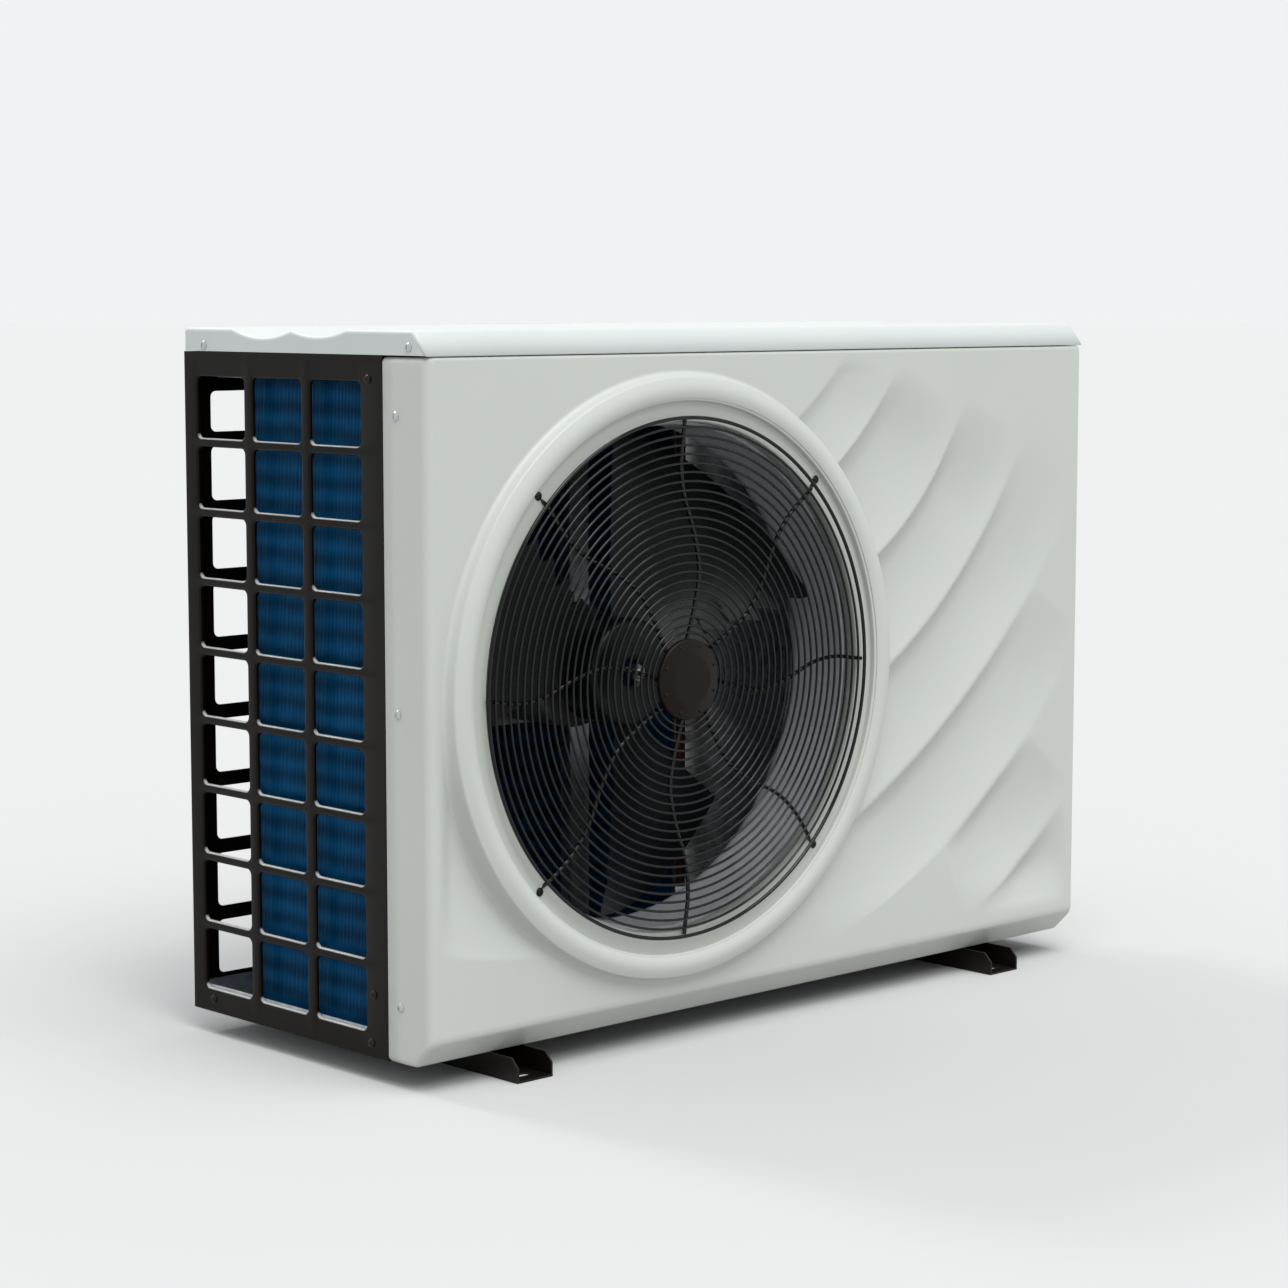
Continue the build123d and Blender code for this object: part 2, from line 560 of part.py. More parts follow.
DISC_RADIUS = 42.5
with BuildPart() as guard_disc:
    with BuildSketch(fan_plane):
        rim_y = GUARD_Y - FRONT + RING_WIRE
        with BuildLine():
            Polyline((0, rim_y - 7.5), (0, rim_y - 9.2), (20, rim_y - 9))
            ThreePointArc((20, rim_y - 9), (37, rim_y - 7.2), (DISC_RADIUS, rim_y - 3.4))
            Polyline((DISC_RADIUS, rim_y - 3.4), (DISC_RADIUS, rim_y), (DISC_RADIUS - 1.7, rim_y),
                     (DISC_RADIUS - 1.7, rim_y - 3))
            ThreePointArc((DISC_RADIUS - 1.7, rim_y - 3), (36, rim_y - 5.6), (20, rim_y - 7.3))
            Line((20, rim_y - 7.3), (0, rim_y - 7.5))
        make_face()
    revolve(axis=fan_axis)
save(guard_disc, "guard_disc")

# ---------------------------------------------------------------- fan shroud with its bulkhead
SHROUD_RADIUS = 265.0
BULKHEAD_LOW = BOTTOM + 32.0
BULKHEAD_HIGH = PANEL_TOP - 32.0
with BuildPart() as fan_shroud:
    box_between((LEFT + MOULDING + 0.3, BULKHEAD_Y, BULKHEAD_LOW),
                (PARTITION_X - 0.5, BULKHEAD_Y + SHEET, BULKHEAD_HIGH))
    box_between((LEFT + MOULDING + 0.3, BULKHEAD_Y, BULKHEAD_LOW),
                (LEFT + MOULDING + 0.3 + SHEET, FRONT + WRAP - 6, BULKHEAD_HIGH))
    with BuildSketch(fan_front):
        Circle(SHROUD_RADIUS + SHEET / 2)
    extrude(amount=80, mode=Mode.SUBTRACT)
    plate_y = BULKHEAD_Y - FRONT
    with BuildSketch(fan_plane):
        with BuildLine():
            Line((SHROUD_RADIUS, plate_y), (SHROUD_RADIUS, plate_y + 70))
            ThreePointArc((SHROUD_RADIUS, plate_y + 70), (SHROUD_RADIUS + 5, plate_y + 83),
                          (SHROUD_RADIUS + 17, plate_y + 90))
            Line((SHROUD_RADIUS + 17, plate_y + 90), (SHROUD_RADIUS + 17.5, plate_y + 88.5))
            ThreePointArc((SHROUD_RADIUS + 17.5, plate_y + 88.5), (SHROUD_RADIUS + 6.3, plate_y + 82),
                          (SHROUD_RADIUS + SHEET, plate_y + 70))
            Polyline((SHROUD_RADIUS + SHEET, plate_y + 70), (SHROUD_RADIUS + SHEET, plate_y),
                     (SHROUD_RADIUS, plate_y))
        make_face()
    revolve(axis=fan_axis)
    with Locations(*wrap_left):
        Hole(SCREW_CLEARANCE, depth=11)
save(fan_shroud, "fan_shroud")

# ---------------------------------------------------------------- fan, shaft, nut, motor and bracket
FAN_RADIUS = 258.0
HUB_RADIUS = 58.0
HUB_FRONT = FRONT + 70.0
HUB_BACK = FRONT + 128.0
SHAFT_RADIUS = 6.0
MOTOR_FRONT = -45.0
MOTOR_BACK = 44.0
SHAFT_BORE = 38.0  # depth in the motor
BLADE_ANGLES = (42.0, 162.0, 282.0)  # from +X towards +Z
# Blade stations: distance from the axis, chord, pitch in degrees, camber and sideways lean.
BLADE_STATIONS = [(50.0, 68.0, 36.0, 6.0, 0.0), (150.0, 180.0, 26.0, 14.0, 8.0),
                  (262.0, 298.0, 19.0, 20.0, 22.0)]
BLADE_MIDDLE_Y = FRONT + 98.0
BLADE_HALF_WALL = 1.2
TOOTH_PITCH = 33.0
TOOTH_DEPTH = 15.0
TEETH = 4
FIRST_TOOTH = 116.0


def trailing_edge(distance):
    """Height of the trailing edge below the blade's middle line, between the outer two stations."""
    near, chord_near, pitch_near, _, lean_near = BLADE_STATIONS[1]
    far, chord_far, pitch_far, _, lean_far = BLADE_STATIONS[2]
    share = (distance - near) / (far - near)
    edge_near = lean_near - chord_near / 2 * math.cos(math.radians(pitch_near))
    edge_far = lean_far - chord_far / 2 * math.cos(math.radians(pitch_far))
    return edge_near + share * (edge_far - edge_near)


def blade():
    """One wide cambered blade along +X of the fan axis, lofted outwards and trimmed to the tip circle. Its
    trailing edge, the front one, has sawteeth."""
    wall = BLADE_HALF_WALL
    with BuildPart() as vane:
        for distance, chord, pitch, camber, lean in BLADE_STATIONS:
            middle = (FAN_X + distance, BLADE_MIDDLE_Y, FAN_Z + lean)
            station = Plane(origin=middle, x_dir=(0, 0, 1), z_dir=(1, 0, 0))
            with BuildSketch(station.rotated((0, 0, -pitch))):
                end = chord / 2
                with BuildLine():
                    ThreePointArc((-end, -wall), (0, -camber - wall), (end, -wall))
                    Line((end, -wall), (end, wall))
                    ThreePointArc((end, wall), (0, wall - camber), (-end, wall))
                    Line((-end, wall), (-end, -wall))
                make_face()
        loft()
        with BuildSketch(fan_front):
            Circle(FAN_RADIUS)
        extrude(amount=200, mode=Mode.INTERSECT)
        with BuildSketch(Plane(origin=(FAN_X, FRONT, FAN_Z), x_dir=(1, 0, 0), z_dir=TO_FRONT)):
            for i in range(TEETH):
                inner = FIRST_TOOTH + i * TOOTH_PITCH
                outer = inner + TOOTH_PITCH - 2
                with BuildLine():
                    Polyline((inner, trailing_edge(inner) - 8), (inner, trailing_edge(inner) + TOOTH_DEPTH),
                             (outer, trailing_edge(outer) - 1), (outer, trailing_edge(outer) - 8), close=True)
                make_face()
        extrude(amount=200, both=True, mode=Mode.SUBTRACT)
    return vane.part


one_blade = blade()
with BuildPart() as fan:
    with BuildSketch(fan_plane):
        with BuildLine():
            front, back = HUB_FRONT - FRONT, HUB_BACK - FRONT
            bore = SHAFT_RADIUS + 0.05
            Polyline((bore, front), (HUB_RADIUS - 10, front))
            ThreePointArc((HUB_RADIUS - 10, front), (HUB_RADIUS - 2.9, front + 2.9), (HUB_RADIUS, front + 10))
            Polyline((HUB_RADIUS, front + 10), (HUB_RADIUS, back), (HUB_RADIUS - 4, back),
                     (HUB_RADIUS - 4, front + 12), (16, front + 5), (16, front + 34), (bore, front + 34),
                     (bore, front))
        make_face()
    revolve(axis=fan_axis)
    hub_room = Pos(FAN_X, BLADE_MIDDLE_Y, FAN_Z) * Rot(90, 0, 0)
    hub_room *= Cylinder(HUB_RADIUS - 2, 300, mode=Mode.PRIVATE)
    for angle in BLADE_ANGLES:
        add(one_blade.rotate(fan_axis, -angle) - hub_room)
save(fan, "fan")

with BuildPart() as motor_shaft:
    shaft_tip = HUB_FRONT - 13
    with BuildSketch(Plane(origin=(FAN_X, shaft_tip, FAN_Z), z_dir=TO_BACK)):
        Circle(SHAFT_RADIUS)
    extrude(amount=MOTOR_FRONT + SHAFT_BORE - 0.5 - shaft_tip)
    chamfer(motor_shaft.edges().group_by(Axis.Y)[0], length=1)
save(motor_shaft, "motor_shaft")

with BuildPart() as fan_nut:
    with BuildSketch(Plane(origin=(FAN_X, HUB_FRONT, FAN_Z), z_dir=TO_FRONT)):
        RegularPolygon(9.5, 6)
        Circle(SHAFT_RADIUS + 0.05, mode=Mode.SUBTRACT)
    extrude(amount=9)
save(fan_nut, "fan_nut")

MOTOR_RADIUS = 68.0
LUG_OFFSET = 60.0
lugs = [(FAN_X + dx, FAN_Z + dz) for dx in (-LUG_OFFSET, LUG_OFFSET) for dz in (-LUG_OFFSET, LUG_OFFSET)]
with BuildPart() as fan_motor:
    with BuildSketch(Plane(origin=(FAN_X, MOTOR_FRONT, FAN_Z), z_dir=TO_BACK)):
        Circle(MOTOR_RADIUS)
    extrude(amount=MOTOR_BACK - MOTOR_FRONT)
    fillet(fan_motor.edges().filter_by(GeomType.CIRCLE), radius=9)
    with BuildSketch(Plane(origin=(FAN_X, MOTOR_BACK - 4, FAN_Z), z_dir=TO_BACK)):
        Rectangle(2 * LUG_OFFSET + 20, 2 * LUG_OFFSET + 20)
        Rectangle(2 * LUG_OFFSET + 24, 2 * LUG_OFFSET - 24, mode=Mode.SUBTRACT)
        Circle(MOTOR_RADIUS - 10)
    extrude(amount=4)
    with Locations(*[outward(x, MOTOR_BACK, z, TO_BACK) for x, z in lugs]):
        Hole(2.8, depth=6)
    with Locations(outward(FAN_X, MOTOR_FRONT, FAN_Z, TO_FRONT)):
        Hole(SHAFT_RADIUS + 0.05, depth=SHAFT_BORE)
save(fan_motor, "fan_motor")

RAIL_OFFSET = 82.0
RAIL_WIDTH = 28.0
with BuildPart() as motor_bracket:
    for side in (-1, 1):
        middle = FAN_X + side * RAIL_OFFSET
        box_between((middle - RAIL_WIDTH / 2, MOTOR_BACK + SHEET, FLOOR_TOP),
                    (middle + RAIL_WIDTH / 2, MOTOR_BACK + 18, LID_BOTTOM - 6))
        box_between((middle - RAIL_WIDTH / 2 + SHEET, MOTOR_BACK + 2 * SHEET, FLOOR_TOP),
                    (middle + RAIL_WIDTH / 2 - SHEET, MOTOR_BACK + 18, LID_BOTTOM - 6), Mode.SUBTRACT)
    for height in (-LUG_OFFSET, LUG_OFFSET):
        box_between((FAN_X - RAIL_OFFSET - RAIL_WIDTH / 2, MOTOR_BACK, FAN_Z + height - 11),
                    (FAN_X + RAIL_OFFSET + RAIL_WIDTH / 2, MOTOR_BACK + SHEET, FAN_Z + height + 11))
    with Locations(*[outward(x, MOTOR_BACK, z, TO_BACK) for x, z in lugs]):
        Hole(2.8, depth=6)
save(motor_bracket, "motor_bracket")

# ---------------------------------------------------------------- evaporator coil
coil_left = LEFT + COIL_GAP
coil_back = BACK - COIL_GAP
with BuildPart() as evaporator_fins:
    with BuildSketch(Plane.XY.offset(COIL_BOTTOM)):
        with BuildLine():
            FilletPolyline((coil_left, COIL_FRONT_END), (coil_left, coil_back), (COIL_RIGHT_END, coil_back),
                           radius=COIL_CORNER)
            Line((COIL_RIGHT_END, coil_back), (COIL_RIGHT_END, coil_back - COIL_THICKNESS))
            FilletPolyline((COIL_RIGHT_END, coil_back - COIL_THICKNESS),
                           (coil_left + COIL_THICKNESS, coil_back - COIL_THICKNESS),
                           (coil_left + COIL_THICKNESS, COIL_FRONT_END), radius=COIL_CORNER - COIL_THICKNESS)
            Line((coil_left + COIL_THICKNESS, COIL_FRONT_END), (coil_left, COIL_FRONT_END))
        make_face()
    extrude(amount=COIL_TOP - COIL_BOTTOM)
save(evaporator_fins, "evaporator_fins")

PLATE_TOP = COIL_TOP + 4.0
with BuildPart() as evaporator_plates:
    box_between((coil_left - 4, COIL_FRONT_END - SHEET, FLOOR_TOP),
                (coil_left + COIL_THICKNESS + 4, COIL_FRONT_END, PLATE_TOP))
    box_between((COIL_RIGHT_END, coil_back - COIL_THICKNESS - 4, FLOOR_TOP),
                (COIL_RIGHT_END + SHEET, coil_back + 4, PLATE_TOP))
save(evaporator_plates, "evaporator_plates")

TUBE_PITCH = 25.4
TUBE_RADIUS = 4.8
TUBE_ROWS = (-9.5, 9.5)
FIRST_BEND = COIL_BOTTOM + 44.0
bend_heights = [FIRST_BEND + 2 * TUBE_PITCH * i for i in range(13)]
HEADER_X = COIL_RIGHT_END + 21.0
GAS_HEADER_Y = coil_back - COIL_THICKNESS / 2 + TUBE_ROWS[0]
LIQUID_HEADER_Y = coil_back - COIL_THICKNESS / 2 + TUBE_ROWS[1]
GAS_INLET_Z = 375.0
LIQUID_INLET_Z = 250.0
feeder_heights = [COIL_BOTTOM + 60.0 + 110.0 * i for i in range(6)]


def return_bend():
    """A half ring of tube standing out along -Y from the origin, its two ends one above the other."""
    with BuildPart() as bend:
        with BuildSketch(Plane.XZ):
            with Locations((0, TUBE_PITCH / 2)):
                Circle(TUBE_RADIUS)
        revolve(axis=Axis.X, revolution_arc=180)
    return bend.part


def header(y, radius, inlet_z):
    """A vertical manifold with feeders to the coil plate and one stub towards the partition."""
    with BuildPart() as manifold:
        with BuildSketch(Plane.XY.offset(feeder_heights[0] - 20)):
            with Locations((HEADER_X, y)):
                Circle(radius)
        extrude(amount=feeder_heights[-1] - feeder_heights[0] + 40)
        for z in feeder_heights:
            with BuildSketch(Plane(origin=(COIL_RIGHT_END + SHEET, y, z), z_dir=TO_RIGHT)):
                Circle(3.2)
            extrude(amount=HEADER_X - COIL_RIGHT_END - SHEET)
        with BuildSketch(Plane(origin=(HEADER_X, y, inlet_z), z_dir=TO_RIGHT)):
            Circle(radius * 0.8)
        extrude(amount=12)
    return manifold.part


one_bend = return_bend()
gas_header = header(GAS_HEADER_Y, 7.0, GAS_INLET_Z)
liquid_header = header(LIQUID_HEADER_Y, 5.0, LIQUID_INLET_Z)
coil_middle_x = coil_left + COIL_THICKNESS / 2
with BuildPart() as evaporator_tubes:
    with Locations([(coil_middle_x + row, COIL_FRONT_END - SHEET, z)
                    for row in TUBE_ROWS for z in bend_heights]):
        add(one_bend)
    add([gas_header, liquid_header])
save(evaporator_tubes, "evaporator_tubes")

# ---------------------------------------------------------------- partition
with BuildPart() as partition:
    box_between((PARTITION_X, BULKHEAD_Y, FLOOR_TOP), (PARTITION_X + PANEL_SKIN, BACK - 6.2, LID_BOTTOM - 5))
    box_between((PARTITION_X - 1, BULKHEAD_Y - 1, FLOOR_TOP),
                (PARTITION_X + 3, PAN_FRONT + 2, BOTTOM + 34), Mode.SUBTRACT)
    for y, z in ((GAS_HEADER_Y, GAS_INLET_Z), (LIQUID_HEADER_Y, LIQUID_INLET_Z)):
        with Locations(outward(PARTITION_X, y, z, TO_LEFT)):
            Hole(8.5, depth=4)
save(partition, "partition")

# ---------------------------------------------------------------- compressor, accumulator, mounts
COMPRESSOR_RADIUS = 60.0
PLATE_Z = GROMMET_TOP - 9.0
ACCUMULATOR_X = COMPRESSOR_X + COMPRESSOR_RADIUS + 38.0
DISCHARGE_X = COMPRESSOR_X - 25.0
with BuildPart() as compressor:
    with BuildSketch(Plane(origin=(COMPRESSOR_X, COMPRESSOR_Y, PLATE_Z), x_dir=(1, 0, 0), z_dir=(0, -1, 0))):
        with BuildLine():
            Polyline((0, 290), (0, 0), (40, 0))
            ThreePointArc((40, 0), (54, 6), (COMPRESSOR_RADIUS, 20))
            Line((COMPRESSOR_RADIUS, 20), (COMPRESSOR_RADIUS, 262))
            ThreePointArc((COMPRESSOR_RADIUS, 262), (46, 281), (0, 290))
        make_face()
    revolve(axis=Axis((COMPRESSOR_X, COMPRESSOR_Y, 0), (0, 0, 1)))
    with BuildSketch(Plane.XY.offset(PLATE_Z)):
        with BuildLine():
            Polyline(*grommets, close=True)
        make_face()
        offset(amount=18)
    extrude(amount=3)
    with Locations([(x, y, PLATE_Z + 3) for x, y in grommets]):
        Hole(9.3, depth=3)
    with BuildSketch(Plane.XY.offset(PLATE_Z + 270)):
        with Locations((DISCHARGE_X, COMPRESSOR_Y)):
            Circle(7)
    extrude(amount=30)
    with BuildSketch(Plane(origin=(COMPRESSOR_X, COMPRESSOR_Y, PLATE_Z + 32), z_dir=TO_RIGHT)):
        Circle(9)
    extrude(amount=COMPRESSOR_RADIUS + 8)
save(compressor, "compressor")
DISCHARGE_Z = PLATE_Z + 300

with BuildPart() as compressor_grommets:
    with BuildSketch(Plane.XZ):
        with BuildLine():
            Polyline((BOLT_CLEARANCE, FLOOR_TOP), (15, FLOOR_TOP), (15, PLATE_Z), (9, PLATE_Z),
                     (9, PLATE_Z + 3.2),
                     (14, PLATE_Z + 3.2), (14, GROMMET_TOP), (BOLT_CLEARANCE, GROMMET_TOP), close=True)
        make_face()
    rubber = revolve(axis=Axis.Z, mode=Mode.PRIVATE)
    with Locations([(x, y, 0) for x, y in grommets]):
        add(rubber)
save(compressor_grommets, "compressor_grommets")


def swept_pipe(points, radii, tube_radius):
    """A round pipe along straight runs joined by tangent arcs."""
    with BuildPart() as pipe:
        with BuildLine() as path:
            FilletPolyline(*points, radius=radii)
        with BuildSketch(Plane(origin=path.line @ 0, z_dir=path.line % 0)):
            Circle(tube_radius)
        sweep()
    return pipe.part


CAN_BOTTOM, CAN_TOP = 110.0, 290.0
elbow_start = COMPRESSOR_X + COMPRESSOR_RADIUS + 8
elbow = swept_pipe([(elbow_start, COMPRESSOR_Y, PLATE_Z + 32), (ACCUMULATOR_X, COMPRESSOR_Y, PLATE_Z + 32),
                    (ACCUMULATOR_X, COMPRESSOR_Y, CAN_BOTTOM + 6)], 18, 9)
SUCTION_STUB_Z = CAN_TOP + 14
with BuildPart() as accumulator:
    with BuildSketch(Plane(origin=(ACCUMULATOR_X, COMPRESSOR_Y, 0), x_dir=(1, 0, 0), z_dir=(0, -1, 0))):
        with BuildLine():
            Polyline((0, SUCTION_STUB_Z), (0, CAN_BOTTOM), (12, CAN_BOTTOM), (29, CAN_BOTTOM + 18),
                     (29, CAN_TOP - 18), (12, CAN_TOP), (9, CAN_TOP), (9, SUCTION_STUB_Z), close=True)
        make_face()
    revolve(axis=Axis((ACCUMULATOR_X, COMPRESSOR_Y, 0), (0, 0, 1)))
    add(elbow)
save(accumulator, "accumulator")

# ---------------------------------------------------------------- refrigerant valves and pipes
VALVE_X, VALVE_Z = COMPRESSOR_X + 10, 430.0
VALVE_RADIUS = 14.0
VALVE_PORTS = (-25.0, 0.0, 25.0)
PORT_DROP = 24.0
with BuildPart() as four_way_valve:
    with BuildSketch(Plane(origin=(VALVE_X, COMPRESSOR_Y - 52, VALVE_Z), z_dir=TO_BACK)):
        Circle(VALVE_RADIUS)
    extrude(amount=104)
    fillet(four_way_valve.edges().filter_by(GeomType.CIRCLE), radius=5)
    for port in VALVE_PORTS:
        with BuildSketch(Plane.XY.offset(VALVE_Z)):
            with Locations((VALVE_X, COMPRESSOR_Y + port)):
                Circle(8.5)
        extrude(amount=-PORT_DROP)
    with BuildSketch(Plane.XY.offset(VALVE_Z)):
        with Locations((VALVE_X, COMPRESSOR_Y)):
            Circle(7)
    extrude(amount=PORT_DROP)
    box_between((VALVE_X + 10, COMPRESSOR_Y - 22, VALVE_Z - 9),
                (VALVE_X + 34, COMPRESSOR_Y + 22, VALVE_Z + 9))
save(four_way_valve, "four_way_valve")

LOOP_Z = VALVE_Z + 55
with BuildPart() as discharge_pipe:
    add(swept_pipe([(DISCHARGE_X, COMPRESSOR_Y, DISCHARGE_Z), (DISCHARGE_X, COMPRESSOR_Y, LOOP_Z),
                    (VALVE_X, COMPRESSOR_Y, LOOP_Z), (VALVE_X, COMPRESSOR_Y, VALVE_Z + PORT_DROP)], 16, 5))
save(discharge_pipe, "discharge_pipe")

port_z = VALVE_Z - PORT_DROP
with BuildPart() as suction_pipe:
    add(swept_pipe([(VALVE_X, COMPRESSOR_Y, port_z), (VALVE_X, COMPRESSOR_Y, port_z - 26),
                    (ACCUMULATOR_X, COMPRESSOR_Y, port_z - 26),
                    (ACCUMULATOR_X, COMPRESSOR_Y, SUCTION_STUB_Z)], 20, 6.5))
save(suction_pipe, "suction_pipe")

EXCHANGER_X, EXCHANGER_RADIUS = 400.0, 75.0
GAS_PORT_Z = port_z - 42
GAS_PORT_Y = UNION_Y - EXCHANGER_RADIUS - 10
evaporator_line = swept_pipe(
    [(VALVE_X, COMPRESSOR_Y + VALVE_PORTS[0], port_z), (VALVE_X, COMPRESSOR_Y + VALVE_PORTS[0], GAS_INLET_Z),
     (VALVE_X - 52, COMPRESSOR_Y + VALVE_PORTS[0], GAS_INLET_Z), (VALVE_X - 52, GAS_HEADER_Y, GAS_INLET_Z),
     (HEADER_X + 12, GAS_HEADER_Y, GAS_INLET_Z)], [14, 20, 16], 6.5)
exchanger_line = swept_pipe(
    [(VALVE_X, COMPRESSOR_Y + VALVE_PORTS[2], port_z), (VALVE_X, COMPRESSOR_Y + VALVE_PORTS[2], GAS_PORT_Z),
     (EXCHANGER_X, COMPRESSOR_Y + VALVE_PORTS[2], GAS_PORT_Z),
     (EXCHANGER_X, GAS_PORT_Y, GAS_PORT_Z)], 20, 6.5)
with BuildPart() as gas_pipes:
    add([evaporator_line, exchanger_line])
save(gas_pipes, "gas_pipes")

LIQUID_X = 270.0
LIQUID_PORT_Z = 80.0
DRIER_LOW, DRIER_HIGH = 112.0, 196.0
EXPANSION_LOW, EXPANSION_HIGH = 232.0, 268.0
with BuildPart() as filter_drier:
    with BuildSketch(Plane(origin=(LIQUID_X, UNION_Y, 0), x_dir=(1, 0, 0), z_dir=(0, -1, 0))):
        with BuildLine():
            Polyline((0, DRIER_HIGH), (0, DRIER_LOW), (6, DRIER_LOW), (16, DRIER_LOW + 14),
                     (16, DRIER_HIGH - 14),
                     (6, DRIER_HIGH), close=True)
        make_face()
    revolve(axis=Axis((LIQUID_X, UNION_Y, 0), (0, 0, 1)))
save(filter_drier, "filter_drier")

with BuildPart() as expansion_valve:
    with BuildSketch(Plane.XY.offset(EXPANSION_LOW)):
        with Locations((LIQUID_X, UNION_Y)):
            Circle(13)
    extrude(amount=EXPANSION_HIGH - EXPANSION_LOW)
    with BuildSketch(Plane.XY.offset(EXPANSION_HIGH)):
        with Locations((LIQUID_X, UNION_Y)):
            Circle(20)
    extrude(amount=34)
    fillet(expansion_valve.edges().group_by(Axis.Z)[-1], radius=5)
    with BuildSketch(Plane(origin=(LIQUID_X, UNION_Y, LIQUID_INLET_Z), z_dir=TO_BACK)):
        Circle(6)
    extrude(amount=20)
save(expansion_valve, "expansion_valve")

with BuildPart() as liquid_pipes:
    add([
        swept_pipe([(EXCHANGER_X - EXCHANGER_RADIUS - 10, UNION_Y, LIQUID_PORT_Z),
                    (LIQUID_X, UNION_Y, LIQUID_PORT_Z),
                    (LIQUID_X, UNION_Y, DRIER_LOW)], 18, 4.8),
        swept_pipe([(LIQUID_X, UNION_Y + 20, LIQUID_INLET_Z), (LIQUID_X, LIQUID_HEADER_Y, LIQUID_INLET_Z),
                    (HEADER_X + 12, LIQUID_HEADER_Y, LIQUID_INLET_Z)], 18, 4.0),
    ])
    with BuildSketch(Plane.XY.offset(DRIER_HIGH)):
        with Locations((LIQUID_X, UNION_Y)):
            Circle(4.8)
    extrude(amount=EXPANSION_LOW - DRIER_HIGH)
save(liquid_pipes, "liquid_pipes")

# ---------------------------------------------------------------- water heat exchanger and unions
SHELL_WALL = 5.0
SHELL_LOW, SHELL_HIGH = FLOOR_TOP + 6.0, 505.0
PORT_RADIUS = 30.0
PORT_BORE = 24.0
THREAD_RADIUS = 32.0
THREAD_START = RIGHT + 3.0
THREAD_END = RIGHT + 22.0
with BuildPart() as exchanger_shell:
    with BuildSketch(Plane.XY.offset(FLOOR_TOP)):
        with Locations((EXCHANGER_X, UNION_Y)):
            Circle(EXCHANGER_RADIUS - 12)
    extrude(amount=6)
    with BuildSketch(Plane.XY.offset(SHELL_LOW)):
        with Locations((EXCHANGER_X, UNION_Y)):
            Circle(EXCHANGER_RADIUS)
    extrude(amount=SHELL_HIGH - SHELL_LOW)
    fillet(exchanger_shell.edges().filter_by(GeomType.CIRCLE).group_by(Axis.Z)[-1], radius=12)
    for z in UNION_HEIGHTS:
        with BuildSketch(Plane(origin=(EXCHANGER_X, UNION_Y, z), z_dir=TO_RIGHT)):
            Circle(PORT_RADIUS)
        extrude(amount=THREAD_START - EXCHANGER_X)
        with BuildSketch(Plane(origin=(THREAD_START, UNION_Y, z), z_dir=TO_RIGHT)):
            Circle(THREAD_RADIUS)
        extrude(amount=THREAD_END - THREAD_START)
    with BuildSketch(Plane(origin=(EXCHANGER_X, GAS_PORT_Y, GAS_PORT_Z), z_dir=TO_BACK)):
        Circle(9)
    extrude(amount=30)
    liquid_port = (EXCHANGER_X - EXCHANGER_RADIUS - 10, UNION_Y, LIQUID_PORT_Z)
    with BuildSketch(Plane(origin=liquid_port, z_dir=TO_RIGHT)):
        Circle(8)
    extrude(amount=30)
    with BuildSketch(Plane.XY.offset(SHELL_LOW + SHELL_WALL)):
        with Locations((EXCHANGER_X, UNION_Y)):
            Circle(EXCHANGER_RADIUS - SHELL_WALL)
    extrude(amount=SHELL_HIGH - SHELL_LOW - 2 * SHELL_WALL, mode=Mode.SUBTRACT)
    for z in UNION_HEIGHTS:
        with BuildSketch(Plane(origin=(EXCHANGER_X + 50, UNION_Y, z), z_dir=TO_RIGHT)):
            Circle(PORT_BORE)
        extrude(amount=THREAD_END - EXCHANGER_X, mode=Mode.SUBTRACT)
    # neck for the flow switch on the lower port
    with BuildSketch(Plane.XY.offset(UNION_HEIGHTS[0] + PORT_BORE - 4)):
        with Locations((RIGHT - 21, UNION_Y)):
            Circle(12)
    extrude(amount=PORT_RADIUS - PORT_BORE + 8)
    with BuildSketch(Plane.XY.offset(UNION_HEIGHTS[0])):
        with Locations((RIGHT - 21, UNION_Y)):
            Circle(9)
    extrude(amount=PORT_RADIUS + 10, mode=Mode.SUBTRACT)
    with BuildSketch(Plane(origin=(RIGHT - 35, UNION_Y, UNION_HEIGHTS[0]), z_dir=TO_RIGHT)):
        Circle(PORT_BORE)
    extrude(amount=30, mode=Mode.SUBTRACT)
save(exchanger_shell, "exchanger_shell")

COIL_PITCH = 36.0
with BuildPart() as titanium_coil:
    with BuildLine() as turns:
        Helix(pitch=COIL_PITCH, height=COIL_PITCH * 9, radius=50, center=(EXCHANGER_X, UNION_Y, 80))
    with BuildSketch(Plane(origin=turns.line @ 0, z_dir=turns.line % 0)):
        Circle(8)
    sweep(is_frenet=True)
save(titanium_coil, "titanium_coil")

NUT_RADIUS = 43.0
SLEEVE_RADIUS = 30.5
SOCKET_RADIUS = 25.1


def union_plane(z):
    """Section plane of a union: its own X is the radius and its Y runs out along +X from the right face."""
    return Plane(origin=(RIGHT, UNION_Y, z), x_dir=(0, 0, 1), z_dir=(0, 1, 0))


def union_nut(z):
    """The nut that turns on the port's thread and pulls the tailpiece's flange home."""
    with BuildPart() as nut:
        with BuildSketch(union_plane(z)):
            with BuildLine():
                Polyline((THREAD_RADIUS + 0.08, 5), (NUT_RADIUS, 5), (NUT_RADIUS, 32), (NUT_RADIUS - 6, 36),
                         (SLEEVE_RADIUS + 0.08, 36), (SLEEVE_RADIUS + 0.08, 28.5),
                         (THREAD_RADIUS + 0.08, 28.5),
                         close=True)
            make_face()
        revolve(axis=Axis((RIGHT, UNION_Y, z), (1, 0, 0)))
        grip = Plane(origin=(RIGHT + 4, UNION_Y, z), z_dir=TO_RIGHT)
        with BuildSketch(grip):
            with PolarLocations(NUT_RADIUS, 12):
                Circle(3.2)
        extrude(amount=40, mode=Mode.SUBTRACT)
    return nut


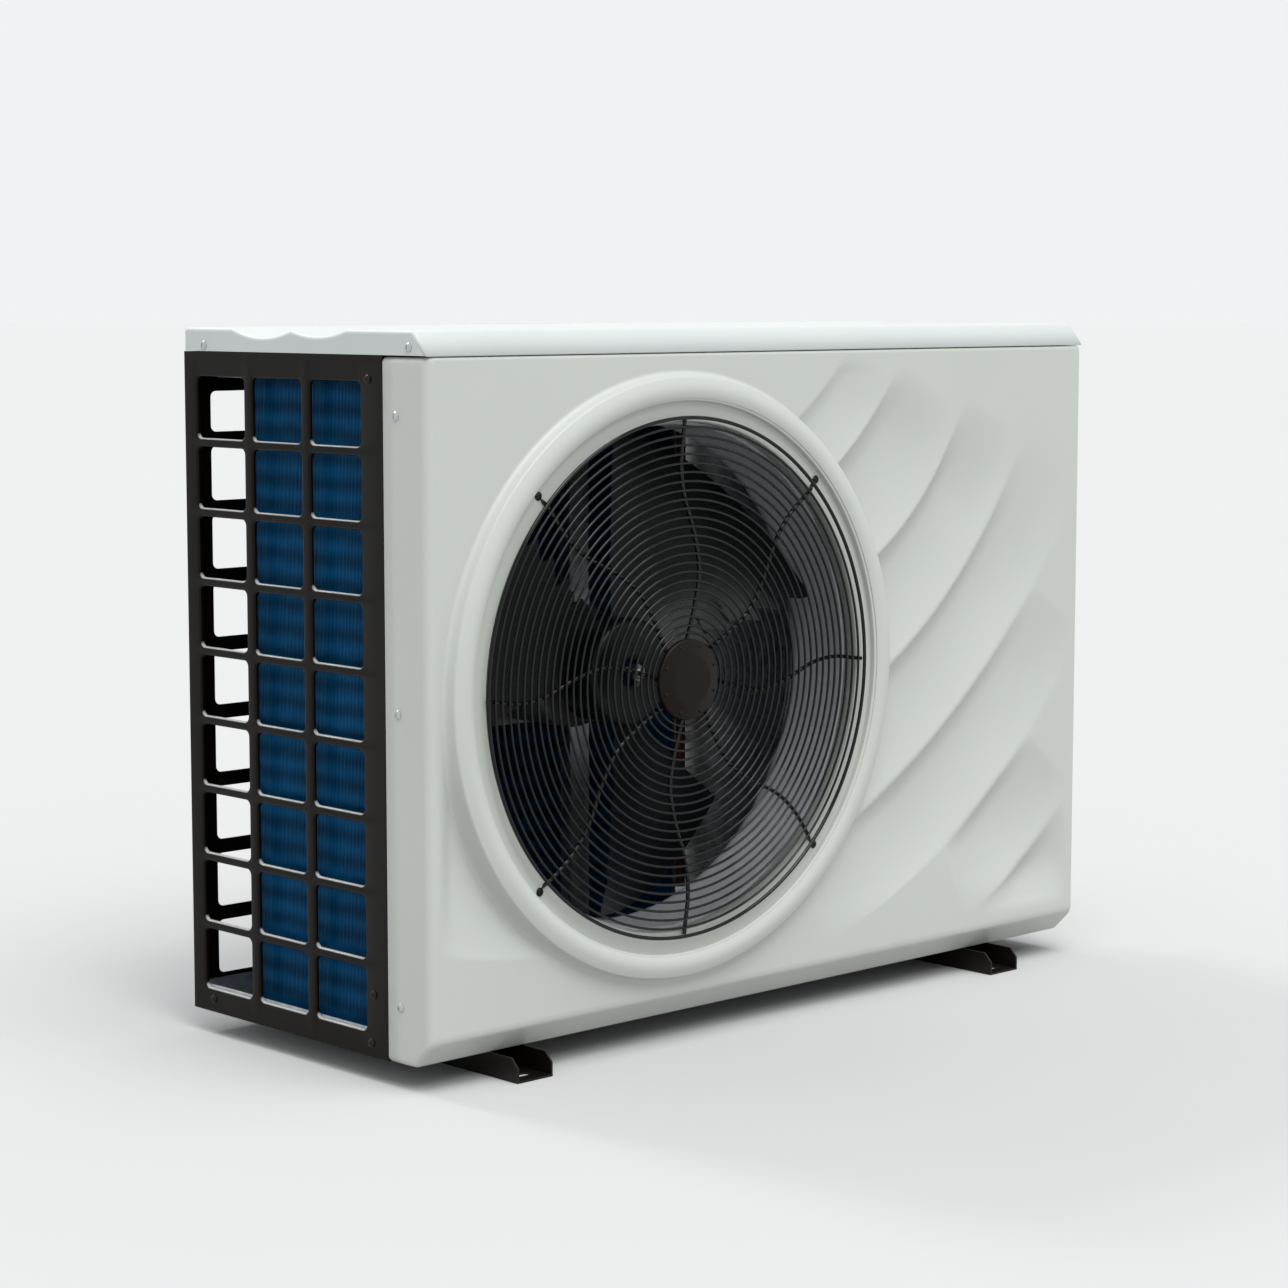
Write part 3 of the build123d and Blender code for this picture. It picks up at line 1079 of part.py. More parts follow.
save(union_nut(UNION_HEIGHTS[0]), "inlet_union_nut")
save(union_nut(UNION_HEIGHTS[1]), "outlet_union_nut")

SEAL_GROOVE = (26.0, 29.0)
with BuildPart() as union_tailpieces:
    for z in UNION_HEIGHTS:
        with BuildSketch(union_plane(z)):
            with BuildLine():
                Polyline((PORT_BORE, 24.2), (THREAD_RADIUS - 0.3, 24.2), (THREAD_RADIUS - 0.3, 28.3),
                         (SLEEVE_RADIUS, 28.3), (SLEEVE_RADIUS, 62), (SOCKET_RADIUS, 62), (SOCKET_RADIUS, 30),
                         (PORT_BORE, 30), close=True)
            make_face()
        revolve(axis=Axis((RIGHT, UNION_Y, z), (1, 0, 0)))
save(union_tailpieces, "union_tailpieces")

with BuildPart() as union_seals:
    for z in UNION_HEIGHTS:
        with BuildSketch(union_plane(z)):
            with BuildLine():
                Polyline((SEAL_GROOVE[0], 22), (SEAL_GROOVE[1], 22), (SEAL_GROOVE[1], 24.2),
                         (SEAL_GROOVE[0], 24.2),
                         close=True)
            make_face()
        revolve(axis=Axis((RIGHT, UNION_Y, z), (1, 0, 0)))
save(union_seals, "union_seals")

# ---------------------------------------------------------------- flow switch
SWITCH_X = RIGHT - 21
PADDLE_PIVOT_Z = UNION_HEIGHTS[0] + 31.0
SWITCH_BASE = UNION_HEIGHTS[0] + PORT_RADIUS + 10.0 - 2.0
with BuildPart() as flow_switch:
    box_between((SWITCH_X - 13, UNION_Y - 15, SWITCH_BASE), (SWITCH_X + 13, UNION_Y + 15, SWITCH_BASE + 34))
    fillet(flow_switch.edges().filter_by(Axis.Z), radius=3)
    with BuildSketch(Plane.XY.offset(SWITCH_BASE)):
        with Locations((SWITCH_X, UNION_Y)):
            Circle(8.8)
            Rectangle(11, 9, mode=Mode.SUBTRACT)
    extrude(amount=-9)
    with BuildSketch(Plane(origin=(SWITCH_X, UNION_Y - 10, PADDLE_PIVOT_Z), z_dir=TO_BACK)):
        Circle(1.0)
    extrude(amount=20, mode=Mode.SUBTRACT)
save(flow_switch, "flow_switch")

with BuildPart() as flow_paddle:
    with BuildSketch(Plane(origin=(SWITCH_X, UNION_Y - 7, PADDLE_PIVOT_Z), z_dir=TO_BACK)):
        Circle(0.95)
    extrude(amount=14)
    box_between((SWITCH_X - 0.8, UNION_Y - 4, PADDLE_PIVOT_Z - 38),
                (SWITCH_X + 0.8, UNION_Y + 4, PADDLE_PIVOT_Z))
save(flow_paddle, "flow_paddle")

# ---------------------------------------------------------------- electrics
BOX_LOW = (222.0, -175.0, 590.0)
BOX_HIGH = (470.0, -35.0, 700.0)
with BuildPart() as electric_box:
    box_between(BOX_LOW, BOX_HIGH)
    open_top = electric_box.faces().sort_by(Axis.Z)[-1]
    offset(amount=-PANEL_SKIN, openings=open_top, kind=Kind.INTERSECTION)
save(electric_box, "electric_box")

BOARD_Z = BOX_LOW[2] + 8
board_middle = ((BOX_LOW[0] + BOX_HIGH[0]) / 2, (BOX_LOW[1] + BOX_HIGH[1]) / 2)
with BuildPart() as main_board:
    with BuildSketch(Plane.XY.offset(BOARD_Z)):
        with Locations(board_middle):
            Rectangle(226, 124)
    extrude(amount=1.6)
    board_top = Plane.XY.offset(BOARD_Z + 1.6)
    with BuildSketch(board_top):
        with Locations([(board_middle[0] - 80 + 34 * i, board_middle[1] - 34) for i in range(3)]):
            Circle(14)
    extrude(amount=44)
    with BuildSketch(board_top):
        with Locations((board_middle[0] + 60, board_middle[1] + 22)):
            Rectangle(58, 52)
    extrude(amount=36)
    with BuildSketch(board_top):
        with Locations([(board_middle[0] - 90 + 30 * i, board_middle[1] + 36) for i in range(4)]):
            Rectangle(20, 26)
    extrude(amount=17)
    with BuildSketch(Plane.XY.offset(BOX_LOW[2] + PANEL_SKIN)):
        with Locations(board_middle):
            with GridLocations(200, 100, 2, 2):
                Circle(3)
    extrude(amount=BOARD_Z - BOX_LOW[2] - PANEL_SKIN)
save(main_board, "main_board")

with BuildPart() as terminal_block:
    box_between((BOX_HIGH[0], -140, 610), (BOX_HIGH[0] + 22, -60, 645))
    with BuildSketch(facing_right(BOX_HIGH[0] + 22, -100, 627.5)):
        with GridLocations(15, 18, 5, 1):
            Rectangle(11, 20)
    extrude(amount=-9, mode=Mode.SUBTRACT)
    with BuildSketch(facing_right(BOX_HIGH[0] + 13, -100, 627.5)):
        with GridLocations(15, 18, 5, 1):
            Circle(3.4)
    extrude(amount=3)
save(terminal_block, "terminal_block")

FIN_REACH = 30.0
FIN_COUNT = 13
with BuildPart() as heat_sink:
    box_between((PARTITION_X - 6.5, -130, 600), (PARTITION_X - 0.5, -20, 700))
    for i in range(FIN_COUNT):
        z = 600 + i * 8.0
        box_between((PARTITION_X - 6.5 - FIN_REACH, -130, z), (PARTITION_X - 6.5, -20, z + 2))
save(heat_sink, "heat_sink")

with BuildPart() as cable_glands:
    for y in GLAND_YS:
        base = outward(RIGHT, y, GLAND_Z, TO_RIGHT)
        with BuildSketch(Plane(base)):
            RegularPolygon(13.5, 6)
        extrude(amount=7)
        with BuildSketch(Plane(base).offset(7)):
            Circle(11.5)
        extrude(amount=17, taper=8)
        with BuildSketch(Plane(base).offset(-12)):
            Circle(10)
        extrude(amount=12)
        with BuildSketch(Plane(base).offset(-6.2)):
            RegularPolygon(13.5, 6)
        extrude(amount=5)
        with BuildSketch(Plane(base).offset(-13)):
            Circle(6.5)
        extrude(amount=40, mode=Mode.SUBTRACT)
save(cable_glands, "cable_glands")

# ---------------------------------------------------------------- controller
HOUSING_FACE = RIGHT + 3.0
RECESS_FLOOR = RIGHT - 6.0
HINGE_Z = CONTROL_Z + 52.0
HINGE_X = HOUSING_FACE + 3.6
HINGE_PIN = 1.5
BUTTON_RADIUS = 5.0
BUTTON_Z = CONTROL_Z - 26.0
button_ys = [CONTROL_Y + dy for dy in (-39, -13, 13, 39)]


with BuildPart() as controller_housing:
    with BuildSketch(facing_right(RIGHT, CONTROL_Y, CONTROL_Z)):
        RectangleRounded(130, 98, 6)
    extrude(amount=3)
    with BuildSketch(facing_right(RIGHT, CONTROL_Y, CONTROL_Z)):
        RectangleRounded(118, 88, 4)
    extrude(amount=-22)
    with BuildSketch(facing_right(HOUSING_FACE, CONTROL_Y, CONTROL_Z)):
        RectangleRounded(110, 80, 4)
    extrude(amount=RECESS_FLOOR - HOUSING_FACE, mode=Mode.SUBTRACT)
    with BuildSketch(facing_right(RECESS_FLOOR, CONTROL_Y, CONTROL_Z + 12)):
        Rectangle(84.4, 40.4)
    extrude(amount=-3, mode=Mode.SUBTRACT)
    with Locations(*[outward(RECESS_FLOOR, y, BUTTON_Z, TO_RIGHT) for y in button_ys]):
        Hole(BUTTON_RADIUS + 0.2, depth=11)
    for side in (-1, 1):
        ear = CONTROL_Y + side * 57
        box_between((RIGHT, ear - 4, CONTROL_Z + 40), (HINGE_X + 3, ear + 4, HINGE_Z + 3))
    with BuildSketch(Plane(origin=(HINGE_X, CONTROL_Y - 70, HINGE_Z), z_dir=TO_BACK)):
        Circle(HINGE_PIN + 0.06)
    extrude(amount=140, mode=Mode.SUBTRACT)
    with BuildSketch(facing_right(RIGHT - 22, CONTROL_Y, CONTROL_Z + 10)):
        Rectangle(60, 30)
    extrude(amount=10, mode=Mode.SUBTRACT)
save(controller_housing, "controller_housing")

with BuildPart() as controller_screen:
    with BuildSketch(facing_right(RECESS_FLOOR - 3, CONTROL_Y, CONTROL_Z + 12)):
        RectangleRounded(84, 40, 2)
    extrude(amount=3.6)
save(controller_screen, "controller_screen")

with BuildPart() as controller_cover:
    with BuildSketch(facing_right(HOUSING_FACE + 0.4, CONTROL_Y, CONTROL_Z - 5)):
        RectangleRounded(128, 84, 6)
    extrude(amount=2.6)
    box_between((HOUSING_FACE + 0.4, CONTROL_Y - 52.5, CONTROL_Z + 30),
                (HOUSING_FACE + 3, CONTROL_Y + 52.5, HINGE_Z - 1))
    with BuildSketch(Plane(origin=(HINGE_X, CONTROL_Y - 52.5, HINGE_Z), z_dir=TO_BACK)):
        Circle(3.2)
    extrude(amount=105)
    with BuildSketch(Plane(origin=(HINGE_X, CONTROL_Y - 60, HINGE_Z), z_dir=TO_BACK)):
        Circle(HINGE_PIN)
    extrude(amount=120)
    with BuildSketch(facing_right(HOUSING_FACE + 0.4, CONTROL_Y, CONTROL_Z - 45)):
        SlotOverall(30, 6)
    extrude(amount=6)
save(controller_cover, "controller_cover")


def button(y):
    """A round push button in its well, standing 3 mm proud of the recess floor."""
    with BuildPart() as cap:
        with BuildSketch(facing_right(RECESS_FLOOR - 8, y, BUTTON_Z)):
            Circle(BUTTON_RADIUS)
        extrude(amount=11)
        fillet(cap.edges().group_by(Axis.X)[-1], radius=1)
    return cap


for y, name in zip(button_ys, ("power_button", "mode_button", "down_button", "up_button")):
    save(button(y), name)

# ---------------------------------------------------------------- pressure gauge
DIAL_X = RIGHT - 3.0
with BuildPart() as gauge_case:
    with BuildSketch(facing_right(RIGHT, GAUGE_Y, GAUGE_Z)):
        Circle(28)
    extrude(amount=6)
    fillet(gauge_case.edges().group_by(Axis.X)[-1], radius=2)
    with BuildSketch(facing_right(RIGHT, GAUGE_Y, GAUGE_Z)):
        Circle(24)
    extrude(amount=-20)
    with BuildSketch(facing_right(RIGHT + 6, GAUGE_Y, GAUGE_Z)):
        Circle(22.2)
    extrude(amount=DIAL_X - RIGHT - 6, mode=Mode.SUBTRACT)
    with BuildSketch(facing_right(DIAL_X, GAUGE_Y, GAUGE_Z)):
        Circle(1.05)
    extrude(amount=-6, mode=Mode.SUBTRACT)
save(gauge_case, "gauge_case")

with BuildPart() as gauge_lens:
    with BuildSketch(facing_right(RIGHT + 2.4, GAUGE_Y, GAUGE_Z)):
        Circle(22.15)
    extrude(amount=2)
save(gauge_lens, "gauge_lens")

with BuildPart() as gauge_needle:
    with BuildSketch(facing_right(DIAL_X + 1.4, GAUGE_Y, GAUGE_Z)):
        with BuildLine():
            Polyline((-11.6, -13.2), (-13.2, -11.6), (4.6, 6.2), (6.2, 4.6), close=True)
        make_face()
        Circle(3.4)
    extrude(amount=1)
    with BuildSketch(facing_right(DIAL_X - 5, GAUGE_Y, GAUGE_Z)):
        Circle(1.0)
    extrude(amount=7)
save(gauge_needle, "gauge_needle")
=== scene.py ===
"""The looks of the pool heat pump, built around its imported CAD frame. Lengths are in metres, places in the
row frame: +Z up, the front faces -Y, the guarded coil end faces -X."""

import math
import random

import bmesh
import bpy
import numpy as np
from mathutils import Matrix, Vector


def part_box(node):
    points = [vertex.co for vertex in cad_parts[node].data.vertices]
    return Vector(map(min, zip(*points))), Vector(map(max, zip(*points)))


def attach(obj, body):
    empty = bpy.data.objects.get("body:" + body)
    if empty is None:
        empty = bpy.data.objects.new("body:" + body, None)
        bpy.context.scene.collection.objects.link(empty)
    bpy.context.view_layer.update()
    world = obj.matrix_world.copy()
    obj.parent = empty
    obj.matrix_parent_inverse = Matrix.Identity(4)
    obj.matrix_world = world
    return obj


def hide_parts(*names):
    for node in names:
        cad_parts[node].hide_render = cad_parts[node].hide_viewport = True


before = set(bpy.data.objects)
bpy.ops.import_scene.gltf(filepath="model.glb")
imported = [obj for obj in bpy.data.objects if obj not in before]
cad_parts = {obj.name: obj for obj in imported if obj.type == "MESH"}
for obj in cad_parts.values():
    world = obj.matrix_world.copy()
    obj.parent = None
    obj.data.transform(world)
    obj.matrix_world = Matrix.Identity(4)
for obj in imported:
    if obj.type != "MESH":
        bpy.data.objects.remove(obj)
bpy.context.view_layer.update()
random.seed(7)

# ---------------------------------------------------------------- places, all from the frame
MM = 0.001
panel_low, panel_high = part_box("front_panel")
guard_low, guard_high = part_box("left_guard")
rear_low, rear_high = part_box("rear_guard")
lid_low, lid_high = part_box("top_cover")
fins_low, fins_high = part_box("evaporator_fins")
rings_low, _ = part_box("guard_rings")
_, spokes_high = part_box("guard_spokes")
disc_low, disc_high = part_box("guard_disc")
shaft_low, shaft_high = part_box("motor_shaft")

LEFT, RIGHT = lid_low.x, lid_high.x
FRONT, BACK = lid_low.y, lid_high.y
BOTTOM = guard_low.z
LID_BOTTOM, TOP = lid_low.z, lid_high.z
PANEL_TOP = LID_BOTTOM - 1.5 * MM  # the panel stops this gap short of the lid
WRAP = panel_high.y - FRONT
FAN = Vector(((shaft_low.x + shaft_high.x) / 2, FRONT, (shaft_low.z + shaft_high.z) / 2))

# Radii of the bezel round the fan, and how far its parts stand in front of the panel.
BEZEL_PROUD = FRONT - panel_low.y
BEZEL_FOOT = 324 * MM
BEZEL_EDGE = 315 * MM  # the cove up from the panel ends here in a crisp edge
EDGE_PROUD = BEZEL_PROUD - 3.5 * MM
BEZEL_CREST = 302 * MM
LIP_DROP = 3.6 * MM  # from the crest back to the lip
LEDGE = 290 * MM
LEDGE_PROUD = 5 * MM
THROAT = 268 * MM
THROAT_DEPTH = 14 * MM


# ---------------------------------------------------------------- mesh helpers
def piece(name, verts, faces, material, body="casing", nodes=(), slot=None, sharp=35.0):
    """A smooth-shaded mesh that rides on a CAD body and stands for the given CAD nodes."""
    mesh = bpy.data.meshes.new(name)
    mesh.from_pydata([tuple(v) for v in verts], [], [tuple(int(i) for i in f) for f in faces])
    mesh.validate()
    obj = bpy.data.objects.new(name, mesh)
    bpy.context.scene.collection.objects.link(obj)
    mesh.materials.append(material)
    smooth(obj, sharp)
    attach(obj, body)
    if nodes:
        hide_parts(*nodes)
    return obj


WELD = 1e-6


def smooth(obj, sharp):
    """Weld, face outwards, and shade smooth except across edges sharper than the angle in degrees. Faces
    with more than four corners are flat ends and stay flat shaded."""
    edit = bmesh.new()
    edit.from_mesh(obj.data)
    bmesh.ops.remove_doubles(edit, verts=edit.verts, dist=WELD)
    bmesh.ops.recalc_face_normals(edit, faces=edit.faces)
    edit.to_mesh(obj.data)
    edit.free()
    obj.data.shade_smooth()
    obj.data.set_sharp_from_angle(angle=math.radians(sharp))
    for face in obj.data.polygons:
        if len(face.vertices) > 4:
            face.use_smooth = False


def solidify(obj, thickness):
    """Give a sheet its wall thickness, inwards."""
    wall = obj.modifiers.new("wall", "SOLIDIFY")
    wall.thickness = thickness
    wall.offset = -1
    return obj


def skin(loops, closed=True, caps=False):
    """Vertices and quads through loops that all have the same number of points."""
    count = len(loops[0])
    verts = [tuple(p) for loop in loops for p in loop]
    faces = []
    for i in range(len(loops) - 1):
        for j in range(count if closed else count - 1):
            a, b = i * count + j, i * count + (j + 1) % count
            faces.append((a, b, b + count, a + count))
    if caps:
        faces.append(tuple(range(count)))
        faces.append(tuple(range(len(verts) - count, len(verts))))
    return verts, faces


def joined(parts):
    """Several (verts, faces) pairs as one."""
    verts, faces = [], []
    for part_verts, part_faces in parts:
        start = len(verts)
        verts.extend(part_verts)
        faces.extend(tuple(i + start for i in face) for face in part_faces)
    return verts, faces


def rounded(corners, radius, steps=5, closed=False):
    """A 2D outline with every corner replaced by an arc that touches both of its sides."""
    radii = radius if isinstance(radius, (list, tuple)) else [radius] * len(corners)
    points = [Vector(c) for c in corners]
    out = []
    for i, (corner, r) in enumerate(zip(points, radii)):
        if r <= 0 or (not closed and i in (0, len(points) - 1)):
            out.append(tuple(corner))
            continue
        to_before = (points[i - 1] - corner).normalized()
        to_after = (points[(i + 1) % len(points)] - corner).normalized()
        turn = to_before.angle(to_after)
        centre = corner + (to_before + to_after).normalized() * (r / math.sin(turn / 2))
        start = corner + to_before * (r / math.tan(turn / 2))
        end = corner + to_after * (r / math.tan(turn / 2))
        first, last = start - centre, end - centre
        sweep = first.angle(last)
        for k in range(steps + 1):
            t = k / steps
            out.append(tuple(centre + (first * math.sin((1 - t) * sweep) + last * math.sin(t * sweep))
                             / math.sin(sweep)))
    return out


def revolved(profile, segments=256, closed=False):
    """A profile of (radius, y) points turned round the fan axis."""
    loops = []
    for radius, y in profile:
        loops.append([(FAN.x + radius * math.cos(a), y, FAN.z + radius * math.sin(a))
                      for a in np.linspace(0, 2 * math.pi, segments, endpoint=False)])
    if closed:
        loops.append(loops[0])
    return skin(loops)


def tube(points, radius, sides=10, closed=False):
    """A round wire along a line of points."""
    path = [Vector(p) for p in points]
    count = len(path)
    loops = []
    side = None
    for i, here in enumerate(path):
        before = path[i - 1] if i or closed else here
        after = path[(i + 1) % count] if i < count - 1 or closed else here
        along = (after - before).normalized()
        if side is None:
            side = along.orthogonal().normalized()
        side = (side - along * side.dot(along)).normalized()
        other = along.cross(side)
        loops.append([here + (side * math.cos(a) + other * math.sin(a)) * radius
                      for a in np.linspace(0, 2 * math.pi, sides, endpoint=False)])
    if closed:
        loops.append(loops[0])
    return skin(loops, caps=not closed)


def smoothstep(low, high, x):
    t = np.clip((x - low) / (high - low), 0, 1)
    return t * t * (3 - 2 * t)


# ---------------------------------------------------------------- materials
WORN_RADIUS = 0.8 * MM  # how far the wear reaches in from an edge
GRAIN_HEIGHT = 0.4 * MM


def finish(name, color, *, worn=None, roughness=0.4, metallic=0.0, mottle=0.05, mottle_scale=9.0,
           grain=900.0, bump=0.03, coat=0.0, gloss=0.5, rough_swing=0.06, brushed=None, bands=None,
           painted_highlight=None):
    """A procedural finish: slow colour variation, fine grain in bump and roughness, and worn edges.

    mottle is the share by which the colour varies, at mottle_scale. worn is the colour of rubbed edges.
    brushed stretches the grain along one axis, as (x, y, z) scale factors. bands is the pitch of level darker
    bands of painted shade. The last keyword is the colour of a painted highlight, mixed in where the surfaces
    face up.
    """
    material = bpy.data.materials.new(name)
    material.use_nodes = True
    tree = material.node_tree
    nodes, links = tree.nodes, tree.links
    shader = nodes["Principled BSDF"]
    shader.inputs["Metallic"].default_value = metallic
    shader.inputs["Specular IOR Level"].default_value = gloss
    shader.inputs["Coat Weight"].default_value = coat
    shader.inputs["Coat Roughness"].default_value = 0.12

    place = nodes.new("ShaderNodeTexCoord")
    stretch = nodes.new("ShaderNodeMapping")
    stretch.inputs["Scale"].default_value = brushed or (1, 1, 1)
    links.new(place.outputs["Object"], stretch.inputs["Vector"])

    def noise(scale, detail, stretched=True):
        node = nodes.new("ShaderNodeTexNoise")
        node.inputs["Scale"].default_value = scale
        node.inputs["Detail"].default_value = detail
        links.new((stretch.outputs if stretched else place.outputs)["Vector" if stretched else "Object"],
                  node.inputs["Vector"])
        return node

    slow = noise(mottle_scale, 4.0, stretched=False)
    fine = noise(grain, 3.0)

    shades = nodes.new("ShaderNodeValToRGB")
    dark = [c * (1 - mottle) for c in color]
    light = [min(1.0, c * (1 + mottle)) for c in color]
    shades.color_ramp.elements[0].position = 0.3
    shades.color_ramp.elements[0].color = (*dark, 1)
    shades.color_ramp.elements[1].position = 0.7
    shades.color_ramp.elements[1].color = (*light, 1)
    links.new(slow.outputs["Fac"], shades.inputs["Fac"])
    color_out = shades.outputs["Color"]

    # Painted shade in level darker bands at the tube pitch.
    if bands:
        color_out = paint_shade_bands(tree, place, color_out, bands)

    if worn:
        bevel = nodes.new("ShaderNodeBevel")
        bevel.samples = 4
        bevel.inputs["Radius"].default_value = WORN_RADIUS
        flat = nodes.new("ShaderNodeNewGeometry")
        agree = nodes.new("ShaderNodeVectorMath")
        agree.operation = "DOT_PRODUCT"
        links.new(bevel.outputs["Normal"], agree.inputs[0])
        links.new(flat.outputs["Normal"], agree.inputs[1])
        amount = nodes.new("ShaderNodeMapRange")
        amount.inputs["From Min"].default_value = 0.99
        amount.inputs["From Max"].default_value = 0.86
        links.new(agree.outputs["Value"], amount.inputs["Value"])
        patchy = nodes.new("ShaderNodeMath")
        patchy.operation = "MULTIPLY"
        links.new(amount.outputs["Result"], patchy.inputs[0])
        links.new(slow.outputs["Fac"], patchy.inputs[1])
        mix = nodes.new("ShaderNodeMix")
        mix.data_type = "RGBA"
        mix.inputs["B"].default_value = (*worn, 1)
        links.new(patchy.outputs["Value"], mix.inputs["Factor"])
        links.new(color_out, mix.inputs["A"])
        color_out = mix.outputs["Result"]
    # Painted highlight: a pale colour in patches where the surface faces up.
    if painted_highlight:
        color_out = paint_up_highlight(tree, color_out, fine, painted_highlight)
    links.new(color_out, shader.inputs["Base Color"])

    rough = nodes.new("ShaderNodeMapRange")
    rough.inputs["To Min"].default_value = max(0.02, roughness - rough_swing)
    rough.inputs["To Max"].default_value = min(1.0, roughness + rough_swing)
    links.new(fine.outputs["Fac"], rough.inputs["Value"])
    links.new(rough.outputs["Result"], shader.inputs["Roughness"])

    lift = nodes.new("ShaderNodeBump")
    lift.inputs["Strength"].default_value = bump
    lift.inputs["Distance"].default_value = GRAIN_HEIGHT
    links.new(fine.outputs["Fac"], lift.inputs["Height"])
    links.new(lift.outputs["Normal"], shader.inputs["Normal"])
    return material


WAVE_PERIOD = 0.314  # metres between the wave texture's bands at a scale of 1


def paint_shade_bands(tree, place, color, pitch):
    """Painted shade: level darker bands at this pitch, along the rows of tubes behind the fins."""
    wave = tree.nodes.new("ShaderNodeTexWave")
    wave.bands_direction = "Z"
    wave.inputs["Scale"].default_value = WAVE_PERIOD / pitch
    wave.inputs["Distortion"].default_value = 1.2
    wave.inputs["Detail"].default_value = 2.0
    wave.inputs["Detail Scale"].default_value = 1.5
    tree.links.new(place.outputs["Object"], wave.inputs["Vector"])
    amount = tree.nodes.new("ShaderNodeMapRange")
    amount.inputs["To Max"].default_value = 0.55
    tree.links.new(wave.outputs["Fac"], amount.inputs["Value"])
    mix = tree.nodes.new("ShaderNodeMix")
    mix.data_type = "RGBA"
    mix.inputs["B"].default_value = (0.0, 0.02, 0.05, 1)
    tree.links.new(amount.outputs["Result"], mix.inputs["Factor"])
    tree.links.new(color, mix.inputs["A"])
    return mix.outputs["Result"]


def paint_up_highlight(tree, color, patches, painted_highlight):
    """A painted highlight: a pale colour in patches where the surface faces up."""
    facing = tree.nodes.new("ShaderNodeNewGeometry")
    split = tree.nodes.new("ShaderNodeSeparateXYZ")
    tree.links.new(facing.outputs["Normal"], split.inputs["Vector"])
    level = tree.nodes.new("ShaderNodeMapRange")
    level.inputs["From Min"].default_value = 0.25
    level.inputs["From Max"].default_value = 0.75
    tree.links.new(split.outputs["Z"], level.inputs["Value"])
    cover = tree.nodes.new("ShaderNodeMath")
    cover.operation = "MULTIPLY"
    tree.links.new(level.outputs["Result"], cover.inputs[0])
    tree.links.new(patches.outputs["Fac"], cover.inputs[1])
    mix = tree.nodes.new("ShaderNodeMix")
    mix.data_type = "RGBA"
    mix.inputs["B"].default_value = (*painted_highlight, 1)
    tree.links.new(cover.outputs["Value"], mix.inputs["Factor"])
    tree.links.new(color, mix.inputs["A"])
    return mix.outputs["Result"]


def glass(name, tint, roughness=0.03, transmission=1.0):
    """A clear or smoked window with faint cloudiness."""
    material = finish(name, tint, roughness=roughness, mottle=0.04, grain=60, bump=0.01, rough_swing=0.02)
    shader = material.node_tree.nodes["Principled BSDF"]
    shader.inputs["Transmission Weight"].default_value = transmission
    shader.inputs["IOR"].default_value = 1.46
    return material


panel_plastic = finish("panel_plastic", (0.437, 0.46, 0.428), worn=(0.58, 0.60, 0.57), roughness=0.40,
                       mottle=0.018, mottle_scale=5, grain=1400, bump=0.05, gloss=0.35)
panel_paint = finish("panel_paint", (0.465, 0.495, 0.485), worn=(0.62, 0.64, 0.63), roughness=0.42,
                     mottle=0.018, mottle_scale=6, grain=1800, bump=0.06, gloss=0.35)
shroud_paint = finish("shroud_paint", (0.33, 0.355, 0.365), worn=(0.5, 0.52, 0.52), roughness=0.30,
                      mottle=0.05, grain=1500, bump=0.04)
black_gloss = finish("black_gloss", (0.003, 0.002, 0.0012), worn=(0.02, 0.018, 0.016), roughness=0.16,
                     mottle=0.3, grain=1300, bump=0.04, gloss=0.12)
# The guard's pale colour on up-facing surfaces is a painted highlight along the lower edges of its openings.
guard_gloss = finish("guard_gloss", (0.003, 0.002, 0.0012), worn=(0.02, 0.018, 0.016), roughness=0.16,
                     mottle=0.3, grain=1300, bump=0.04, gloss=0.12, painted_highlight=(0.75, 0.76, 0.74))
black_paint = finish("black_paint", (0.006, 0.0045, 0.0035), worn=(0.04, 0.035, 0.03), roughness=0.34,
                     mottle=0.3, grain=1100, bump=0.10, gloss=0.22)
wire_coat = finish("wire_coat", (0.002, 0.002, 0.002), roughness=0.10, mottle=0.3, grain=1600,
                   bump=0.02, gloss=0.3, rough_swing=0.03)
disc_coat = finish("disc_coat", (0.0055, 0.0034, 0.002), worn=(0.035, 0.03, 0.025), roughness=0.40,
                   mottle=0.25, grain=1500, bump=0.09, gloss=0.12)
blade_plastic = finish("blade_plastic", (0.004, 0.0055, 0.006), worn=(0.010, 0.013, 0.014),
                       roughness=0.26, mottle=0.18, mottle_scale=14, grain=900, bump=0.07, gloss=0.19)
# The fins' level darker bands are painted shade at the tube pitch.
fin_blue = finish("fin_blue", (0.008, 0.15, 0.36), roughness=0.30, metallic=0.5, mottle=0.14,
                  mottle_scale=14, grain=500, bump=0.12, bands=25.4 * MM)
zinc = finish("zinc", (0.48, 0.49, 0.50), worn=(0.75, 0.75, 0.75), roughness=0.26, metallic=1.0,
              mottle=0.08, grain=900, bump=0.06)
dull_steel = finish("dull_steel", (0.20, 0.20, 0.20), worn=(0.4, 0.4, 0.4), roughness=0.38,
                    metallic=1.0, mottle=0.15, grain=900, bump=0.08)
galvanised = finish("galvanised", (0.46, 0.48, 0.49), worn=(0.62, 0.63, 0.64), roughness=0.42,
                    metallic=0.9, mottle=0.22, mottle_scale=60, grain=700, bump=0.08)
motor_enamel = finish("motor_enamel", (0.05, 0.052, 0.054), worn=(0.2, 0.2, 0.2), roughness=0.40,
                      mottle=0.15, grain=900, bump=0.1)
compressor_enamel = finish("compressor_enamel", (0.018, 0.018, 0.020), worn=(0.12, 0.12, 0.12),
                           roughness=0.38, mottle=0.25, grain=600, bump=0.12)
copper = finish("copper", (0.42, 0.19, 0.11), worn=(0.6, 0.32, 0.2), roughness=0.34, metallic=1.0,
                mottle=0.22, mottle_scale=40, grain=700, bump=0.05)
